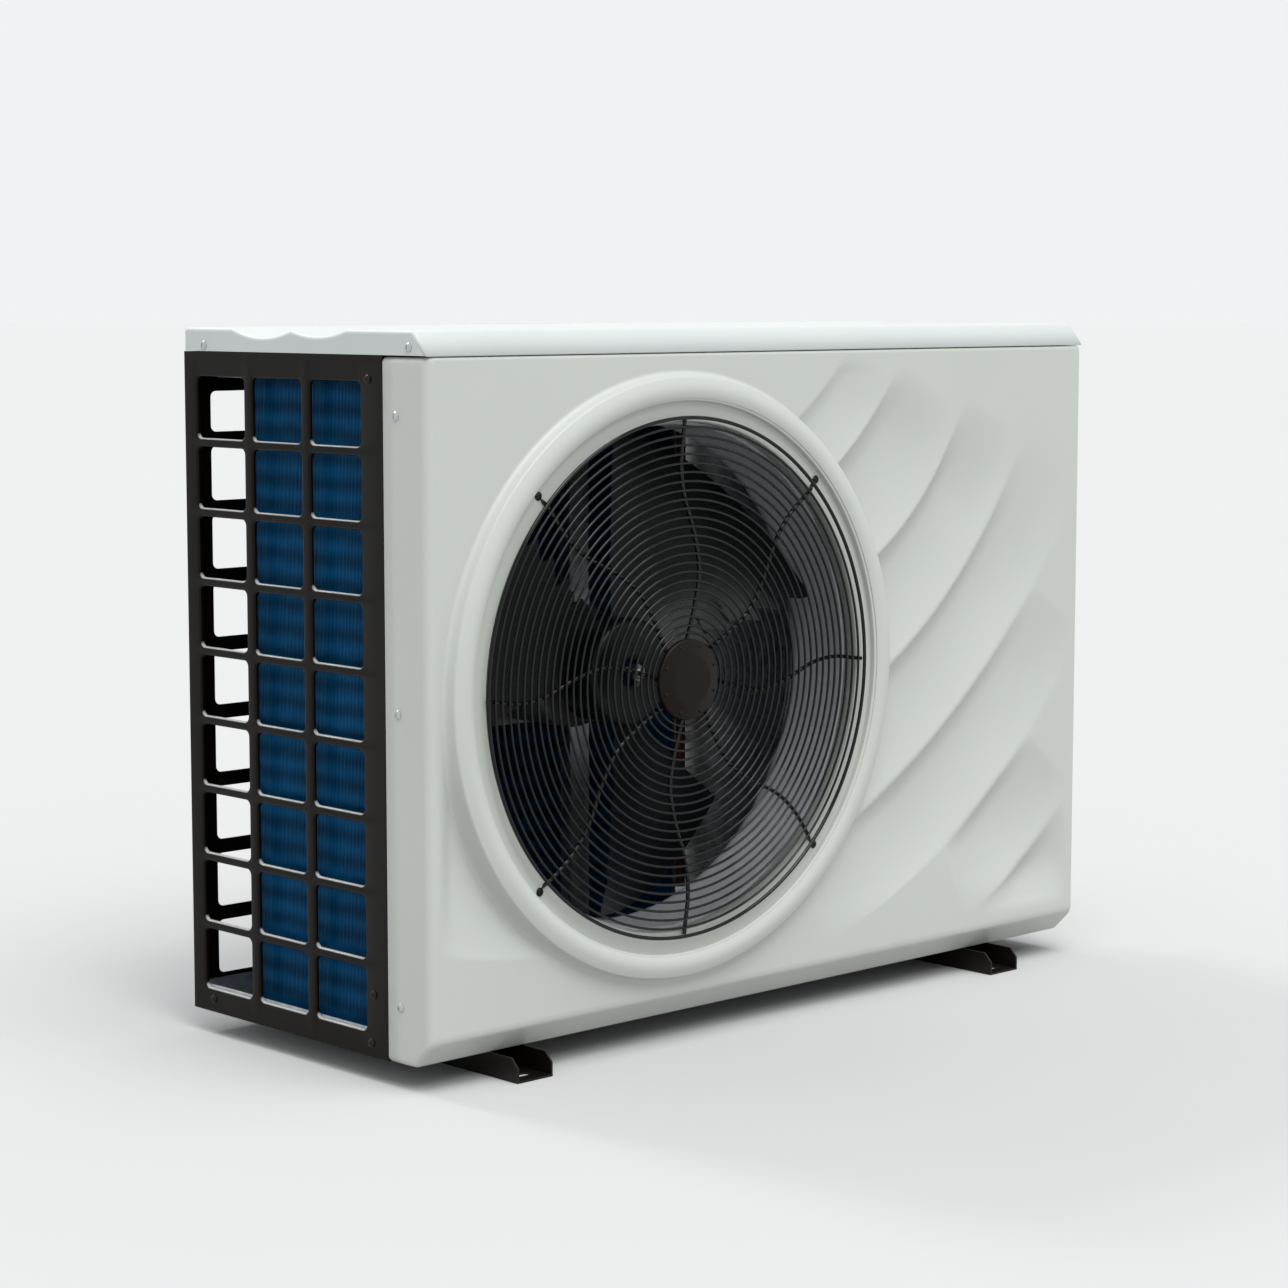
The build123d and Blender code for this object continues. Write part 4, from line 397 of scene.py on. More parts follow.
# Copper darkened to near black, as painted shade for the tubes deep inside the coil.
shade_darkened_copper = finish("shade_darkened_copper", (0.10, 0.045, 0.025), worn=(0.2, 0.1, 0.06), roughness=0.45,
                     metallic=0.8, mottle=0.3, mottle_scale=40, grain=700, bump=0.05)
brass = finish("brass", (0.60, 0.42, 0.17), worn=(0.75, 0.58, 0.3), roughness=0.28, metallic=1.0,
               mottle=0.12, mottle_scale=40, grain=800, bump=0.05)
bare_aluminium = finish("bare_aluminium", (0.62, 0.63, 0.64), worn=(0.8, 0.8, 0.8), roughness=0.36,
                        metallic=1.0, mottle=0.08, grain=900, bump=0.06, brushed=(0.05, 1, 1))
titanium = finish("titanium", (0.38, 0.36, 0.34), roughness=0.34, metallic=1.0, mottle=0.1, grain=900,
                  bump=0.05)
rubber = finish("rubber", (0.018, 0.018, 0.018), worn=(0.05, 0.05, 0.05), roughness=0.75, mottle=0.25,
                grain=1200, bump=0.2)
white_plastic = finish("white_plastic", (0.70, 0.70, 0.67), worn=(0.8, 0.8, 0.78), roughness=0.36,
                       mottle=0.03, grain=1400, bump=0.05)
button_plastic = finish("button_plastic", (0.52, 0.54, 0.54), worn=(0.7, 0.7, 0.7), roughness=0.45,
                        mottle=0.05, grain=1500, bump=0.08)
board_green = finish("board_green", (0.02, 0.16, 0.06), worn=(0.3, 0.35, 0.3), roughness=0.34,
                     mottle=0.4, mottle_scale=160, grain=900, bump=0.1)
screen_dark = finish("screen_dark", (0.02, 0.035, 0.04), roughness=0.12, mottle=0.2, grain=500,
                     bump=0.01, coat=0.6)
red_paint = finish("red_paint", (0.5, 0.02, 0.015), roughness=0.4, mottle=0.08, grain=900, bump=0.05)
smoked = glass("smoked", (0.16, 0.17, 0.18), transmission=0.75)
clear = glass("clear", (0.92, 0.95, 0.95))

CARRIED = {
    "base_pan": galvanised, "left_foot": black_paint, "right_foot": black_paint, "hex_bolts": zinc,
    "rear_panel": panel_paint, "right_panel": panel_paint, "service_cover": panel_paint,
    "silver_screws": zinc, "black_screws": black_paint, "fan_shroud": shroud_paint, "fan_nut": dull_steel,
    "motor_shaft": dull_steel, "fan_motor": motor_enamel, "motor_bracket": galvanised,
    "evaporator_plates": galvanised, "evaporator_tubes": shade_darkened_copper, "partition": galvanised,
    "compressor": compressor_enamel, "accumulator": compressor_enamel, "compressor_grommets": rubber,
    "four_way_valve": brass, "expansion_valve": brass, "filter_drier": copper, "discharge_pipe": copper,
    "suction_pipe": copper, "gas_pipes": copper, "liquid_pipes": copper, "exchanger_shell": black_gloss,
    "titanium_coil": titanium, "inlet_union_nut": black_gloss, "outlet_union_nut": black_gloss,
    "union_tailpieces": white_plastic, "union_seals": rubber, "flow_switch": white_plastic,
    "flow_paddle": zinc, "electric_box": galvanised, "main_board": board_green,
    "heat_sink": bare_aluminium, "terminal_block": white_plastic, "controller_housing": black_paint,
    "controller_screen": screen_dark, "controller_cover": smoked, "power_button": button_plastic,
    "mode_button": button_plastic, "down_button": button_plastic, "up_button": button_plastic,
    "gauge_case": black_gloss, "gauge_lens": clear, "gauge_needle": red_paint,
    "cable_glands": black_paint, "drain_nozzle": black_paint,
}
for node_name, material in CARRIED.items():
    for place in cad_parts[node_name].material_slots:
        place.material = material


# ---------------------------------------------------------------- front panel
# Crest lines of the flutes, as arcs: centre and radius in mm from the casing's lower left corner, and the
# angles in degrees where each fades out at its lower and upper ends. The first ones run in under the bezel.
UNDER_BEZEL = -120
CRESTS = [
    (344, 894, 315, UNDER_BEZEL, -38), (344, 894, 393, UNDER_BEZEL, -34), (457, 779, 357, UNDER_BEZEL, -25),
    (345, 870, 611, UNDER_BEZEL, -27), (214, 996, 904, UNDER_BEZEL, -32), (354, 802, 783, -72, -37),
    (610, 508, 501, -65, -44),
]
# A crest starts to fade this many degrees before its upper and lower ends, and is gone this many past them.
UPPER_FADE, LOWER_FADE, FADE_PAST = 13, 12, 3
FLUTE_DEPTH = 13 * MM
FIRST_FLUTE = 0.45  # the first flute is this much as deep as the others
FALL = 0.26  # share of a flute's width that falls from the crest to the valley
RISE_POWER = 2.1  # how late the valley rises to the next crest
LAST_WIDTH = 105 * MM  # width of the last flute, which has no crest beyond it
EDGE_FADE = 24 * MM  # the flutes fade out over this distance from the edge of the flat part
FOOT_FADE = 75 * MM  # and over this height above the chamfer


def flute_depth(x, z):
    """How far the flutes lie behind the flat front at these places."""
    u, v = x - LEFT, z - BOTTOM
    away, fade = [], []
    for cx, cz, radius, lower, upper in CRESTS:
        du, dv = u - cx * MM, v - cz * MM
        away.append(np.hypot(du, dv) - radius * MM)
        angle = np.degrees(np.arctan2(dv, du))
        fade.append((1 - smoothstep(upper - UPPER_FADE, upper + FADE_PAST, angle))
                    * smoothstep(lower - FADE_PAST, lower + LOWER_FADE, angle))
    depth = np.zeros_like(u)
    for k in range(len(CRESTS)):
        if k + 1 < len(CRESTS):
            width = np.maximum(away[k] - away[k + 1], 1e-6)
            inside = (away[k] > 0) & (away[k + 1] <= 0)
            strength = np.sqrt(fade[k] * fade[k + 1])
        else:
            width = LAST_WIDTH
            inside = (away[k] > 0) & (away[k] < LAST_WIDTH)
            strength = fade[k]
        t = np.clip(away[k] / width, 0, 1)
        fall = 1 - (1 - np.minimum(t / FALL, 1)) ** 2
        rise = 1 - (np.maximum(t - FALL, 0) / (1 - FALL)) ** RISE_POWER
        strength = strength * (FIRST_FLUTE if k == 0 else 1.0)
        depth = np.where(inside, FLUTE_DEPTH * fall * rise * strength, depth)
    return depth


def bezel_height(radius):
    """How far the bezel stands in front of the panel at this distance from the fan axis: a cove, a crisp edge
    and a crowned band."""
    cove = np.clip((BEZEL_FOOT - radius) / (BEZEL_FOOT - BEZEL_EDGE), 0, 1)
    crown = np.clip((BEZEL_EDGE - radius) / (BEZEL_EDGE - BEZEL_CREST), 0, 1)
    down = np.clip((BEZEL_CREST - radius) / (BEZEL_CREST - LEDGE), 0, 1)
    return (EDGE_PROUD * cove**4 + (BEZEL_PROUD - EDGE_PROUD) * np.sin(crown * math.pi / 2)
            - LIP_DROP * down**2)


def panel_front_y(x, z, border):
    """Front surface of the panel; border is the distance to the edge of its flat part."""
    radius = np.hypot(x - FAN.x, z - FAN.z)
    flutes = flute_depth(x, z) * smoothstep(BEZEL_EDGE, BEZEL_FOOT, radius) * smoothstep(0, EDGE_FADE, border)
    flutes *= smoothstep(CHAMFER, CHAMFER + FOOT_FADE, z - BOTTOM)
    return FRONT + flutes - bezel_height(radius)


SIDE_RADIUS, TOP_RADIUS, CHAMFER, CORNER = 10 * MM, 3 * MM, 27 * MM, 6 * MM
PANEL_WALL = 2.2 * MM
POINTS_ACROSS, POINTS_UP = 230, 150  # points along the long and the short sides of the panel's outline
FLUTE_LOOPS = 84  # loops between the panel's edge and the bezel
BEZEL_STEP = 0.75 * MM  # distance between the loops over the bezel
chamfer_profile = rounded([(CHAMFER + 6 * MM, 0), (CHAMFER, 0), (0, CHAMFER), (0, CHAMFER + 9 * MM)],
                          [0, 9 * MM, 6 * MM, 0], steps=6)


def quarter_inset(radius, depth):
    """How far a rounded edge has drawn in at this depth behind the front."""
    left = max(radius - depth, 0.0)
    return radius - math.sqrt(max(radius**2 - left**2, 0.0))


def panel_outline(depth):
    """The panel's outline in the X-Z plane at this depth behind the front, as a loop of points."""
    side = quarter_inset(SIDE_RADIUS, depth)
    top = quarter_inset(TOP_RADIUS, depth)
    insets = [p[0] for p in chamfer_profile]
    depths = [p[1] for p in chamfer_profile]
    low = insets[0] if depth == 0 else float(np.interp(depth, depths, insets))
    return rounded_rectangle(LEFT + side, RIGHT - side, BOTTOM + low, PANEL_TOP - top, CORNER,
                             POINTS_ACROSS, POINTS_UP, 6)


def rounded_rectangle(x0, x1, z0, z1, radius, across, up, steps):
    """A loop of (x, z) with a fixed number of points on each side and corner, from the lower left corner."""
    points = []
    corners = [((x0 + radius, z0 + radius), 180), ((x1 - radius, z0 + radius), 270),
               ((x1 - radius, z1 - radius), 0), ((x0 + radius, z1 - radius), 90)]
    for i, ((cx, cz), start) in enumerate(corners):
        for k in range(steps + 1):
            a = math.radians(start + 90 * k / steps)
            points.append((cx + radius * math.cos(a), cz + radius * math.sin(a)))
        nx, nz = corners[(i + 1) % 4][0]
        a = math.radians(start + 90)
        end = (nx + radius * math.cos(a), nz + radius * math.sin(a))
        here = points[-1]
        count = across if i % 2 == 0 else up
        for k in range(1, count):
            t = k / count
            points.append((here[0] + (end[0] - here[0]) * t, here[1] + (end[1] - here[1]) * t))
    return points


def build_front_panel():
    """One skin of matching loops: forward along the wraps, over the edges, in across the fluted front, over
    the bezel and back into the throat."""
    wall_depths = [0.0, 0.4, 1.2, 2.4, 4.0, 6.0, 8.0, 10.0, 14.0, 18.0, 22.0, 24.5, 26.0, 28.0, 32.0, 45.0]
    loops = []
    loops.append([(x, FRONT + WRAP, z) for x, z in panel_outline(WRAP)])
    for depth in reversed(wall_depths):
        loops.append([(x, FRONT + depth * MM, z) for x, z in panel_outline(depth * MM)])
    edge = np.array(panel_outline(0.0))
    x_low, z_low = edge.min(0)
    x_high, z_high = edge.max(0)
    out = edge - np.array([FAN.x, FAN.z])
    reach = np.hypot(out[:, 0], out[:, 1])
    unit = out / reach[:, None]
    spread = [reach + (BEZEL_FOOT - reach) * t for t in np.linspace(0, 1, FLUTE_LOOPS)[1:]]
    spread += [np.full_like(reach, r) for r in np.arange(BEZEL_FOOT - 1 * MM, LEDGE + 3 * MM, -BEZEL_STEP)]
    for radius in spread:
        x, z = FAN.x + unit[:, 0] * radius, FAN.z + unit[:, 1] * radius
        border = np.minimum.reduce([x - x_low, x_high - x, z - z_low, z_high - z])
        loops.append(list(zip(x, panel_front_y(x, z, border), z)))
    lip = FRONT - float(bezel_height(np.array(LEDGE)))
    ledge = FRONT - LEDGE_PROUD
    turn = rounded([(LEDGE + 3 * MM, lip - 0.5 * MM), (LEDGE, lip), (LEDGE, ledge), (THROAT, ledge),
                    (THROAT, FRONT + THROAT_DEPTH)], [0, 1.4 * MM, 1.6 * MM, 2.5 * MM, 0], steps=4)
    for radius, y in turn:
        loops.append([(FAN.x + ux * radius, y, FAN.z + uz * radius) for ux, uz in unit])
    verts, faces = skin(loops)
    return solidify(piece("front_panel_moulding", verts, faces, panel_plastic, nodes=["front_panel"],
                          slot="grey_plastic", sharp=60), PANEL_WALL)


build_front_panel()


# ---------------------------------------------------------------- coil guards
COLUMN_PITCH = 96.85 * MM
OPENING_WIDTH = 82.6 * MM
ROWS = 9
EDGE_RADIUS = 2.2 * MM
OPENING_CORNER = 6.5 * MM
GUARD_TOP = LID_BOTTOM - 0.5 * MM
LEFT_ROW_PITCH, LEFT_ROW_HEIGHT = 73.46 * MM, 64.25 * MM
LEFT_MIDDLE_Y, LEFT_MIDDLE_Z = BACK - 159.5 * MM, BOTTOM + 351.36 * MM  # middle of its 3 x 9 openings
REAR_COLUMNS = 7
REAR_MARGIN, REAR_SILL = 30 * MM, 33 * MM  # solid strips left of and below its openings
REAR_ROW_PITCH, REAR_ROW_HEIGHT, REAR_TOP_ROW_HEIGHT = 73.1 * MM, 57.7 * MM, 43 * MM


def opening_loop(cx, cz, width, height, radius, steps=6):
    """A rounded opening as a loop whose points match those of cell_loop."""
    points = []
    for sx, sz, start in ((1, -1, 270), (1, 1, 0), (-1, 1, 90), (-1, -1, 180)):
        for k in range(steps + 1):
            a = math.radians(start + 90 * k / steps)
            points.append((cx + sx * (width / 2 - radius) + radius * math.cos(a),
                           cz + sz * (height / 2 - radius) + radius * math.sin(a)))
    return points


def cell_loop(x0, x1, z0, z1, opening, steps=6):
    """The loop on the cell's own border that faces an opening's loop. The middle of each corner arc faces the
    cell's corner."""
    points = []
    for i, (x, z) in enumerate(opening):
        corner, k = divmod(i, steps + 1)
        near_x = x1 if corner in (0, 1) else x0
        near_z = z0 if corner in (0, 3) else z1
        leaves_by_x = corner in (1, 3)  # these arcs start on an upright side
        first_half = k < steps / 2
        if k == steps / 2:
            points.append((near_x, near_z))
        elif first_half == leaves_by_x:
            points.append((near_x, z))
        else:
            points.append((x, near_z))
    return points


def pierced_sheet(xs, zs, openings, corner, thickness):
    """A sheet in local (x, z, depth), with one rounded opening in each cell and its edges rounded at the
    front."""
    parts = []
    rounding = [(EDGE_RADIUS * (1 - math.sin(a)), EDGE_RADIUS * (1 - math.cos(a)))
                for a in np.linspace(0, math.pi / 2, 5)]
    for i in range(len(xs) - 1):
        for j in range(len(zs) - 1):
            cx, cz, width, height = openings[i][j]
            grown = opening_loop(cx, cz, width + 2 * EDGE_RADIUS, height + 2 * EDGE_RADIUS,
                                 corner + EDGE_RADIUS)
            border = cell_loop(xs[i], xs[i + 1], zs[j], zs[j + 1], grown)
            loops = [[(x, z, 0.0) for x, z in border]]
            for grow, depth in rounding:
                loop = opening_loop(cx, cz, width + 2 * grow, height + 2 * grow, corner + grow)
                loops.append([(x, z, depth) for x, z in loop])
            plain = opening_loop(cx, cz, width, height, corner)
            loops.append([(x, z, thickness) for x, z in plain])
            loops.append([(x, z, thickness) for x, z in border])
            parts.append(skin(loops))
    rim = [(xs[0], zs[0]), (xs[-1], zs[0]), (xs[-1], zs[-1]), (xs[0], zs[-1])]
    for side in zip(rim, rim[1:] + rim[:1]):
        parts.append(skin([[(x, z, depth) for x, z in side] for depth in (0.0, thickness)], closed=False))
    return joined(parts)


def between(low, middles, high):
    """Cell borders: the two ends, and halfway between neighbouring middles."""
    return [low, *[(a + b) / 2 for a, b in zip(middles, middles[1:])], high]


def build_left_guard():
    columns = [LEFT_MIDDLE_Y + (i - 1) * COLUMN_PITCH for i in range(3)]
    rows = [LEFT_MIDDLE_Z + (j - (ROWS - 1) / 2) * LEFT_ROW_PITCH for j in range(ROWS)]
    openings = [[(y, z, OPENING_WIDTH, LEFT_ROW_HEIGHT) for z in rows] for y in columns]
    verts, faces = pierced_sheet(between(guard_low.y, columns, BACK), between(BOTTOM, rows, GUARD_TOP),
                                 openings, OPENING_CORNER, guard_high.x - guard_low.x)
    verts = [(LEFT + depth, y, z) for y, z, depth in verts]
    piece("left_guard_moulding", verts, faces, guard_gloss, nodes=["left_guard"], slot="black_plastic")


def build_rear_guard():
    first_row = BOTTOM + REAR_SILL + REAR_ROW_HEIGHT / 2
    columns = [LEFT + REAR_MARGIN + OPENING_WIDTH / 2 + i * COLUMN_PITCH for i in range(REAR_COLUMNS)]
    rows = [first_row + j * REAR_ROW_PITCH for j in range(ROWS)]
    heights = [REAR_ROW_HEIGHT] * (ROWS - 1) + [REAR_TOP_ROW_HEIGHT]
    middles = rows[:-1] + [rows[-1] - (REAR_ROW_HEIGHT - REAR_TOP_ROW_HEIGHT) / 2]
    openings = [[(x, z, OPENING_WIDTH, h) for z, h in zip(middles, heights)] for x in columns]
    verts, faces = pierced_sheet(between(rear_low.x, columns, rear_high.x), between(BOTTOM, rows, GUARD_TOP),
                                 openings, OPENING_CORNER, rear_high.y - rear_low.y)
    verts = [(x, BACK - depth, z) for x, z, depth in verts]
    piece("rear_guard_moulding", verts, faces, guard_gloss, nodes=["rear_guard"], slot="black_plastic")


build_left_guard()
build_rear_guard()

# ---------------------------------------------------------------- lid
LID_SLOPE = 20.5 * MM
LID_WALL = 1.4 * MM
LID_END_RADIUS = 4 * MM
# Distance behind the front, width and depth of each trough.
TROUGHS = [(172 * MM, 95 * MM, 7 * MM), (263 * MM, 104 * MM, 9 * MM)]


def lid_top(behind):
    """Height of the lid's top at this distance behind the front plane."""
    z = TOP
    for middle, width, depth in TROUGHS:
        radius = (width**2 / 4 + depth**2) / (2 * depth)
        across = behind - middle
        if abs(across) < width / 2:
            z = min(z, TOP - depth + radius - math.sqrt(radius**2 - across**2))
    return z


def build_lid():
    height = TOP - LID_BOTTOM
    front = rounded([(0, 0), (LID_SLOPE, height), (60 * MM, height)], [0, 9 * MM, 0], steps=8)
    depth = BACK - FRONT
    back = rounded([(depth - 30 * MM, height), (depth, height), (depth, 0)], [0, 4 * MM, 0], steps=5)
    middle = [(b, lid_top(b) - LID_BOTTOM) for b in np.arange(64 * MM, depth - 32 * MM, 3 * MM)]
    section = [Vector(p) for p in front + middle + back]
    normals = []
    for i, here in enumerate(section):
        along = section[min(i + 1, len(section) - 1)] - section[max(i - 1, 0)]
        normals.append(Vector((-along.y, along.x)).normalized())
    radius = LID_END_RADIUS

    def station(x, inset):
        points = []
        for i, (here, normal) in enumerate(zip(section, normals)):
            inner = here - normal * inset
            if i in (0, len(section) - 1):
                inner.y = 0.0
            points.append((x, FRONT + inner.x, LID_BOTTOM + inner.y))
        return points

    arc = np.linspace(math.pi / 2, 0, 6)
    loops = [station(LEFT + radius * (1 - math.sin(a)), radius * (1 - math.cos(a))) for a in arc]
    loops += [station(x, 0) for x in np.linspace(LEFT + radius, RIGHT - radius, 24)[1:-1]]
    loops += [station(RIGHT - radius * (1 - math.sin(a)), radius * (1 - math.cos(a))) for a in reversed(arc)]
    verts, faces = skin(loops, closed=False)
    count = len(section)
    faces.append(tuple(range(count)))
    faces.append(tuple(range(len(verts) - count, len(verts))))
    lid = piece("top_cover_pressing", verts, faces, panel_paint, nodes=["top_cover"], slot="grey_steel",
                sharp=50)
    return solidify(lid, LID_WALL)


build_lid()

# ---------------------------------------------------------------- wire fan guard
GUARD_RADIUS = 272.5 * MM
RING_PITCH = 9.4 * MM
RING_COUNT = 24
INNER_RING = 49 * MM
RING_WIRE, RIM_WIRE, SPOKE_WIRE = 1.35 * MM, 2.0 * MM, 2.2 * MM
RIM_Y = rings_low.y + RIM_WIRE
RING_Y = RIM_Y + 0.65 * MM
SPOKE_Y = RING_Y + RING_WIRE + SPOKE_WIRE
EYELET_RADIUS = 282.6 * MM  # distance of the eyelets from the axis
EYELET_LOOP = 4.8 * MM  # radius of an eyelet's own loop
EYELET_Y = spokes_high.y - SPOKE_WIRE
# The S-curve of a spoke: distance from the axis and sideways bend, in mm.
SPOKE_BEND = [(38, 2), (75, 14), (112, 21), (150, 14), (188, 0), (214, -5), (236, -5), (256, -2)]
RIVET_ANGLES = (22, 68, 112, 158, 202, 248, 292, 338)
RIVET_CIRCLE = 0.86  # distance of the rivets from the axis, as a share of the disc's radius
RIVET_RADIUS, RIVET_HEIGHT = 2.2 * MM, 1.7 * MM
RIVET_FOOT = 3.4 * MM  # the rivets' feet lie this far behind the middle of the disc


def wire_ring(radius, y, wire):
    profile = [(radius + wire * math.cos(a), y + wire * math.sin(a))
               for a in np.linspace(0, 2 * math.pi, 10, endpoint=False)]
    return revolved(profile, segments=240, closed=True)


def catmull(points, steps):
    """A smooth line through points."""
    path = [Vector(p) for p in points]
    path = [path[0] * 2 - path[1], *path, path[-1] * 2 - path[-2]]
    out = []
    for a, b, c, d in zip(path, path[1:], path[2:], path[3:]):
        for k in range(steps):
            t = k / steps
            out.append(((b * 2) + (c - a) * t + (a * 2 - b * 5 + c * 4 - d) * t**2
                        + (b * 3 - a - c * 3 + d) * t**3) / 2)
    out.append(path[-2])
    return out


def build_ring_wires():
    rings = [wire_ring(GUARD_RADIUS, RIM_Y, RIM_WIRE)]
    rings += [wire_ring(GUARD_RADIUS - i * RING_PITCH, RING_Y, RING_WIRE) for i in range(1, RING_COUNT)]
    rings.append(wire_ring(INNER_RING, RING_Y, RING_WIRE))
    piece("guard_ring_wires", *joined(rings), wire_coat, nodes=["guard_rings"], slot="black_wire", sharp=80)


def build_spoke_wires():
    """Eight spokes; every second one runs on over the rim to an eyelet on the ledge."""
    wires = []
    for i in range(8):
        turn = math.radians(45 * i)
        out = Vector((math.cos(turn), 0, math.sin(turn)))
        aside = Vector((math.sin(turn), 0, -math.cos(turn)))
        hub = Vector((FAN.x, SPOKE_Y, FAN.z))
        line = [hub + out * (r * MM) + aside * (bend * MM) for r, bend in SPOKE_BEND]
        if i % 2:
            drop = Vector((0, EYELET_Y - SPOKE_Y, 0))
            line.append(hub + out * (GUARD_RADIUS - 3 * MM) + drop * 0.25)
            eye = hub + out * EYELET_RADIUS + drop
            line.append(eye - out * EYELET_LOOP)
            across = out.cross(Vector((0, 1, 0)))
            loop = [eye + (out * math.cos(a) + across * math.sin(a)) * EYELET_LOOP
                    for a in np.linspace(0, 2 * math.pi, 28, endpoint=False)]
            wires.append(tube(loop, SPOKE_WIRE, closed=True))
        else:
            line.append(hub + out * (GUARD_RADIUS - 1.5 * MM))
        wires.append(tube(catmull(line, 8), SPOKE_WIRE, sides=12))
    piece("guard_spoke_wires", *joined(wires), wire_coat, nodes=["guard_spokes"], slot="black_wire", sharp=80)


def build_guard_disc():
    """A dished blank disc with a turned rim and small rivet heads near its edge."""
    radius = disc_high.x - FAN.x
    front, rim = disc_low.y, disc_high.y
    dish = rounded([(0.0, front), (radius * 0.62, front + 0.3 * MM), (radius, front + 5 * MM), (radius, rim),
                    (radius - 1.7 * MM, rim)], [0, 20 * MM, 2.4 * MM, 0.7 * MM, 0], steps=6)
    dish[0] = (0.2 * MM, front)
    parts = [revolved(dish, segments=96)]
    sides = 14
    dome = [(RIVET_RADIUS * math.cos(a), front + RIVET_FOOT - RIVET_HEIGHT * math.sin(a))
            for a in np.linspace(0, math.pi / 2 - 0.05, 5)]
    for angle in RIVET_ANGLES:
        turn = math.radians(angle)
        cx = FAN.x + radius * RIVET_CIRCLE * math.cos(turn)
        cz = FAN.z + radius * RIVET_CIRCLE * math.sin(turn)
        loops = [[(cx + r * math.cos(b), y, cz + r * math.sin(b))
                  for b in np.linspace(0, 2 * math.pi, sides, endpoint=False)] for r, y in dome]
        verts, faces = skin(loops)
        faces.append(tuple(range(len(verts) - sides, len(verts))))
        parts.append((verts, faces))
    piece("guard_disc_pressing", *joined(parts), disc_coat, nodes=["guard_disc"], slot="black_plastic",
          sharp=50)


build_ring_wires()
build_spoke_wires()
build_guard_disc()

# ---------------------------------------------------------------- fan
FAN_RADIUS = 258 * MM
HUB_RADIUS = 58 * MM
HUB_BORE, HUB_WALL = 14 * MM, 4 * MM
HUB_FRONT, HUB_BACK = FRONT + 70 * MM, FRONT + 128 * MM
BLADE_MIDDLE_Y = FRONT + 98 * MM
BLADE_ANGLES = (42, 162, 282)
# Blade stations: distance from the axis, chord, pitch in degrees, camber and sideways lean; lengths in mm.
BLADE_STATIONS = [(50, 68, 36, 6, 0), (150, 180, 26, 14, 8), (262, 298, 19, 20, 22)]
BLADE_HALF_WALL = 1.3 * MM
BLADE_TAPER = 0.75  # the wall is this much thinner at a blade's two edges
TOOTH_PITCH, TOOTH_DEPTH, FIRST_TOOTH, TEETH = 33 * MM, 15 * MM, 116 * MM, 4


def blade_section(distance):
    """Chord, pitch, camber and lean at this distance, straight between the stations."""
    table = np.array(BLADE_STATIONS, float)
    chord, pitch, camber, lean = [np.interp(distance / MM, table[:, 0], table[:, k]) for k in (1, 2, 3, 4)]
    return chord * MM, math.radians(pitch), camber * MM, lean * MM


def tooth_cut(distance):
    """How much of the chord the sawteeth take off the trailing edge."""
    along = (distance - FIRST_TOOTH) / TOOTH_PITCH
    if not 0 <= along < TEETH:
        return 0.0
    return TOOTH_DEPTH * (1 - along % 1)


def build_fan():
    """Three blades lofted outwards from the hub, in steps that follow the sawteeth, and the hub's shell."""
    distances = list(np.linspace(50 * MM, FIRST_TOOTH - 0.4 * MM, 14))
    for i in range(TEETH):
        start = FIRST_TOOTH + i * TOOTH_PITCH
        distances += list(np.linspace(start, start + TOOTH_PITCH - 0.4 * MM, 8))
    distances += [FAN_RADIUS]
    spans = np.linspace(0, 1, 33)
    parts = []
    for angle in BLADE_ANGLES:
        turn = Matrix.Rotation(-math.radians(angle), 3, "Y")
        loops = []
        for distance in distances:
            chord, pitch, camber, lean = blade_section(distance)
            first = -chord / 2 + tooth_cut(distance)
            front, back = [], []
            for s in spans:
                c = first + (chord / 2 - first) * s
                bow = -camber * (1 - (2 * c / chord) ** 2)
                ends = 1 - BLADE_TAPER * abs(2 * s - 1) ** 8
                for side, wall in ((front, 1), (back, -1)):
                    n = bow + wall * BLADE_HALF_WALL * ends
                    up = c * math.cos(pitch) + n * math.sin(pitch) + lean
                    towards_front = -c * math.sin(pitch) + n * math.cos(pitch)
                    reach = math.sqrt(max(distance**2 - up**2, (0.35 * distance) ** 2))
                    place = turn @ Vector((reach, -towards_front, up))
                    side.append((FAN.x + place.x, BLADE_MIDDLE_Y + place.y, FAN.z + place.z))
            loops.append(front + back[::-1])
        parts.append(skin(loops, caps=True))
    hub_inside = HUB_RADIUS - HUB_WALL
    hub = rounded([(HUB_BORE, HUB_FRONT + 3 * MM), (HUB_BORE + 4 * MM, HUB_FRONT), (HUB_RADIUS, HUB_FRONT),
                   (HUB_RADIUS, HUB_BACK), (hub_inside, HUB_BACK), (hub_inside, HUB_FRONT + 12 * MM),
                   (HUB_BORE, HUB_FRONT + 8 * MM)], [0, 2 * MM, 9 * MM, 1 * MM, 1 * MM, 6 * MM, 0], steps=5)
    parts.append(revolved(hub + [hub[0]], segments=96))
    piece("fan_moulding", *joined(parts), blade_plastic, body="fan_rotor", nodes=["fan"],
          slot="fan_plastic", sharp=40)


build_fan()

# ---------------------------------------------------------------- evaporator
FIN_PITCH = 2.3 * MM
FIN_WALL = 0.28 * MM
COIL_THICKNESS = 38 * MM
COIL_CORNER = 100 * MM
TUBE_PITCH = 25.4 * MM
TUBE_RADIUS = 4.8 * MM
TUBES_PER_ROW = 26
FIRST_TUBE = 16 * MM  # height of the lowest tube above the fins' lower edge
ROW_OFFSET = 9.5 * MM  # each row of tubes stands this far from the middle of the coil
FIN_LEAN = 0.12 * MM  # fins stand up to this far out of line


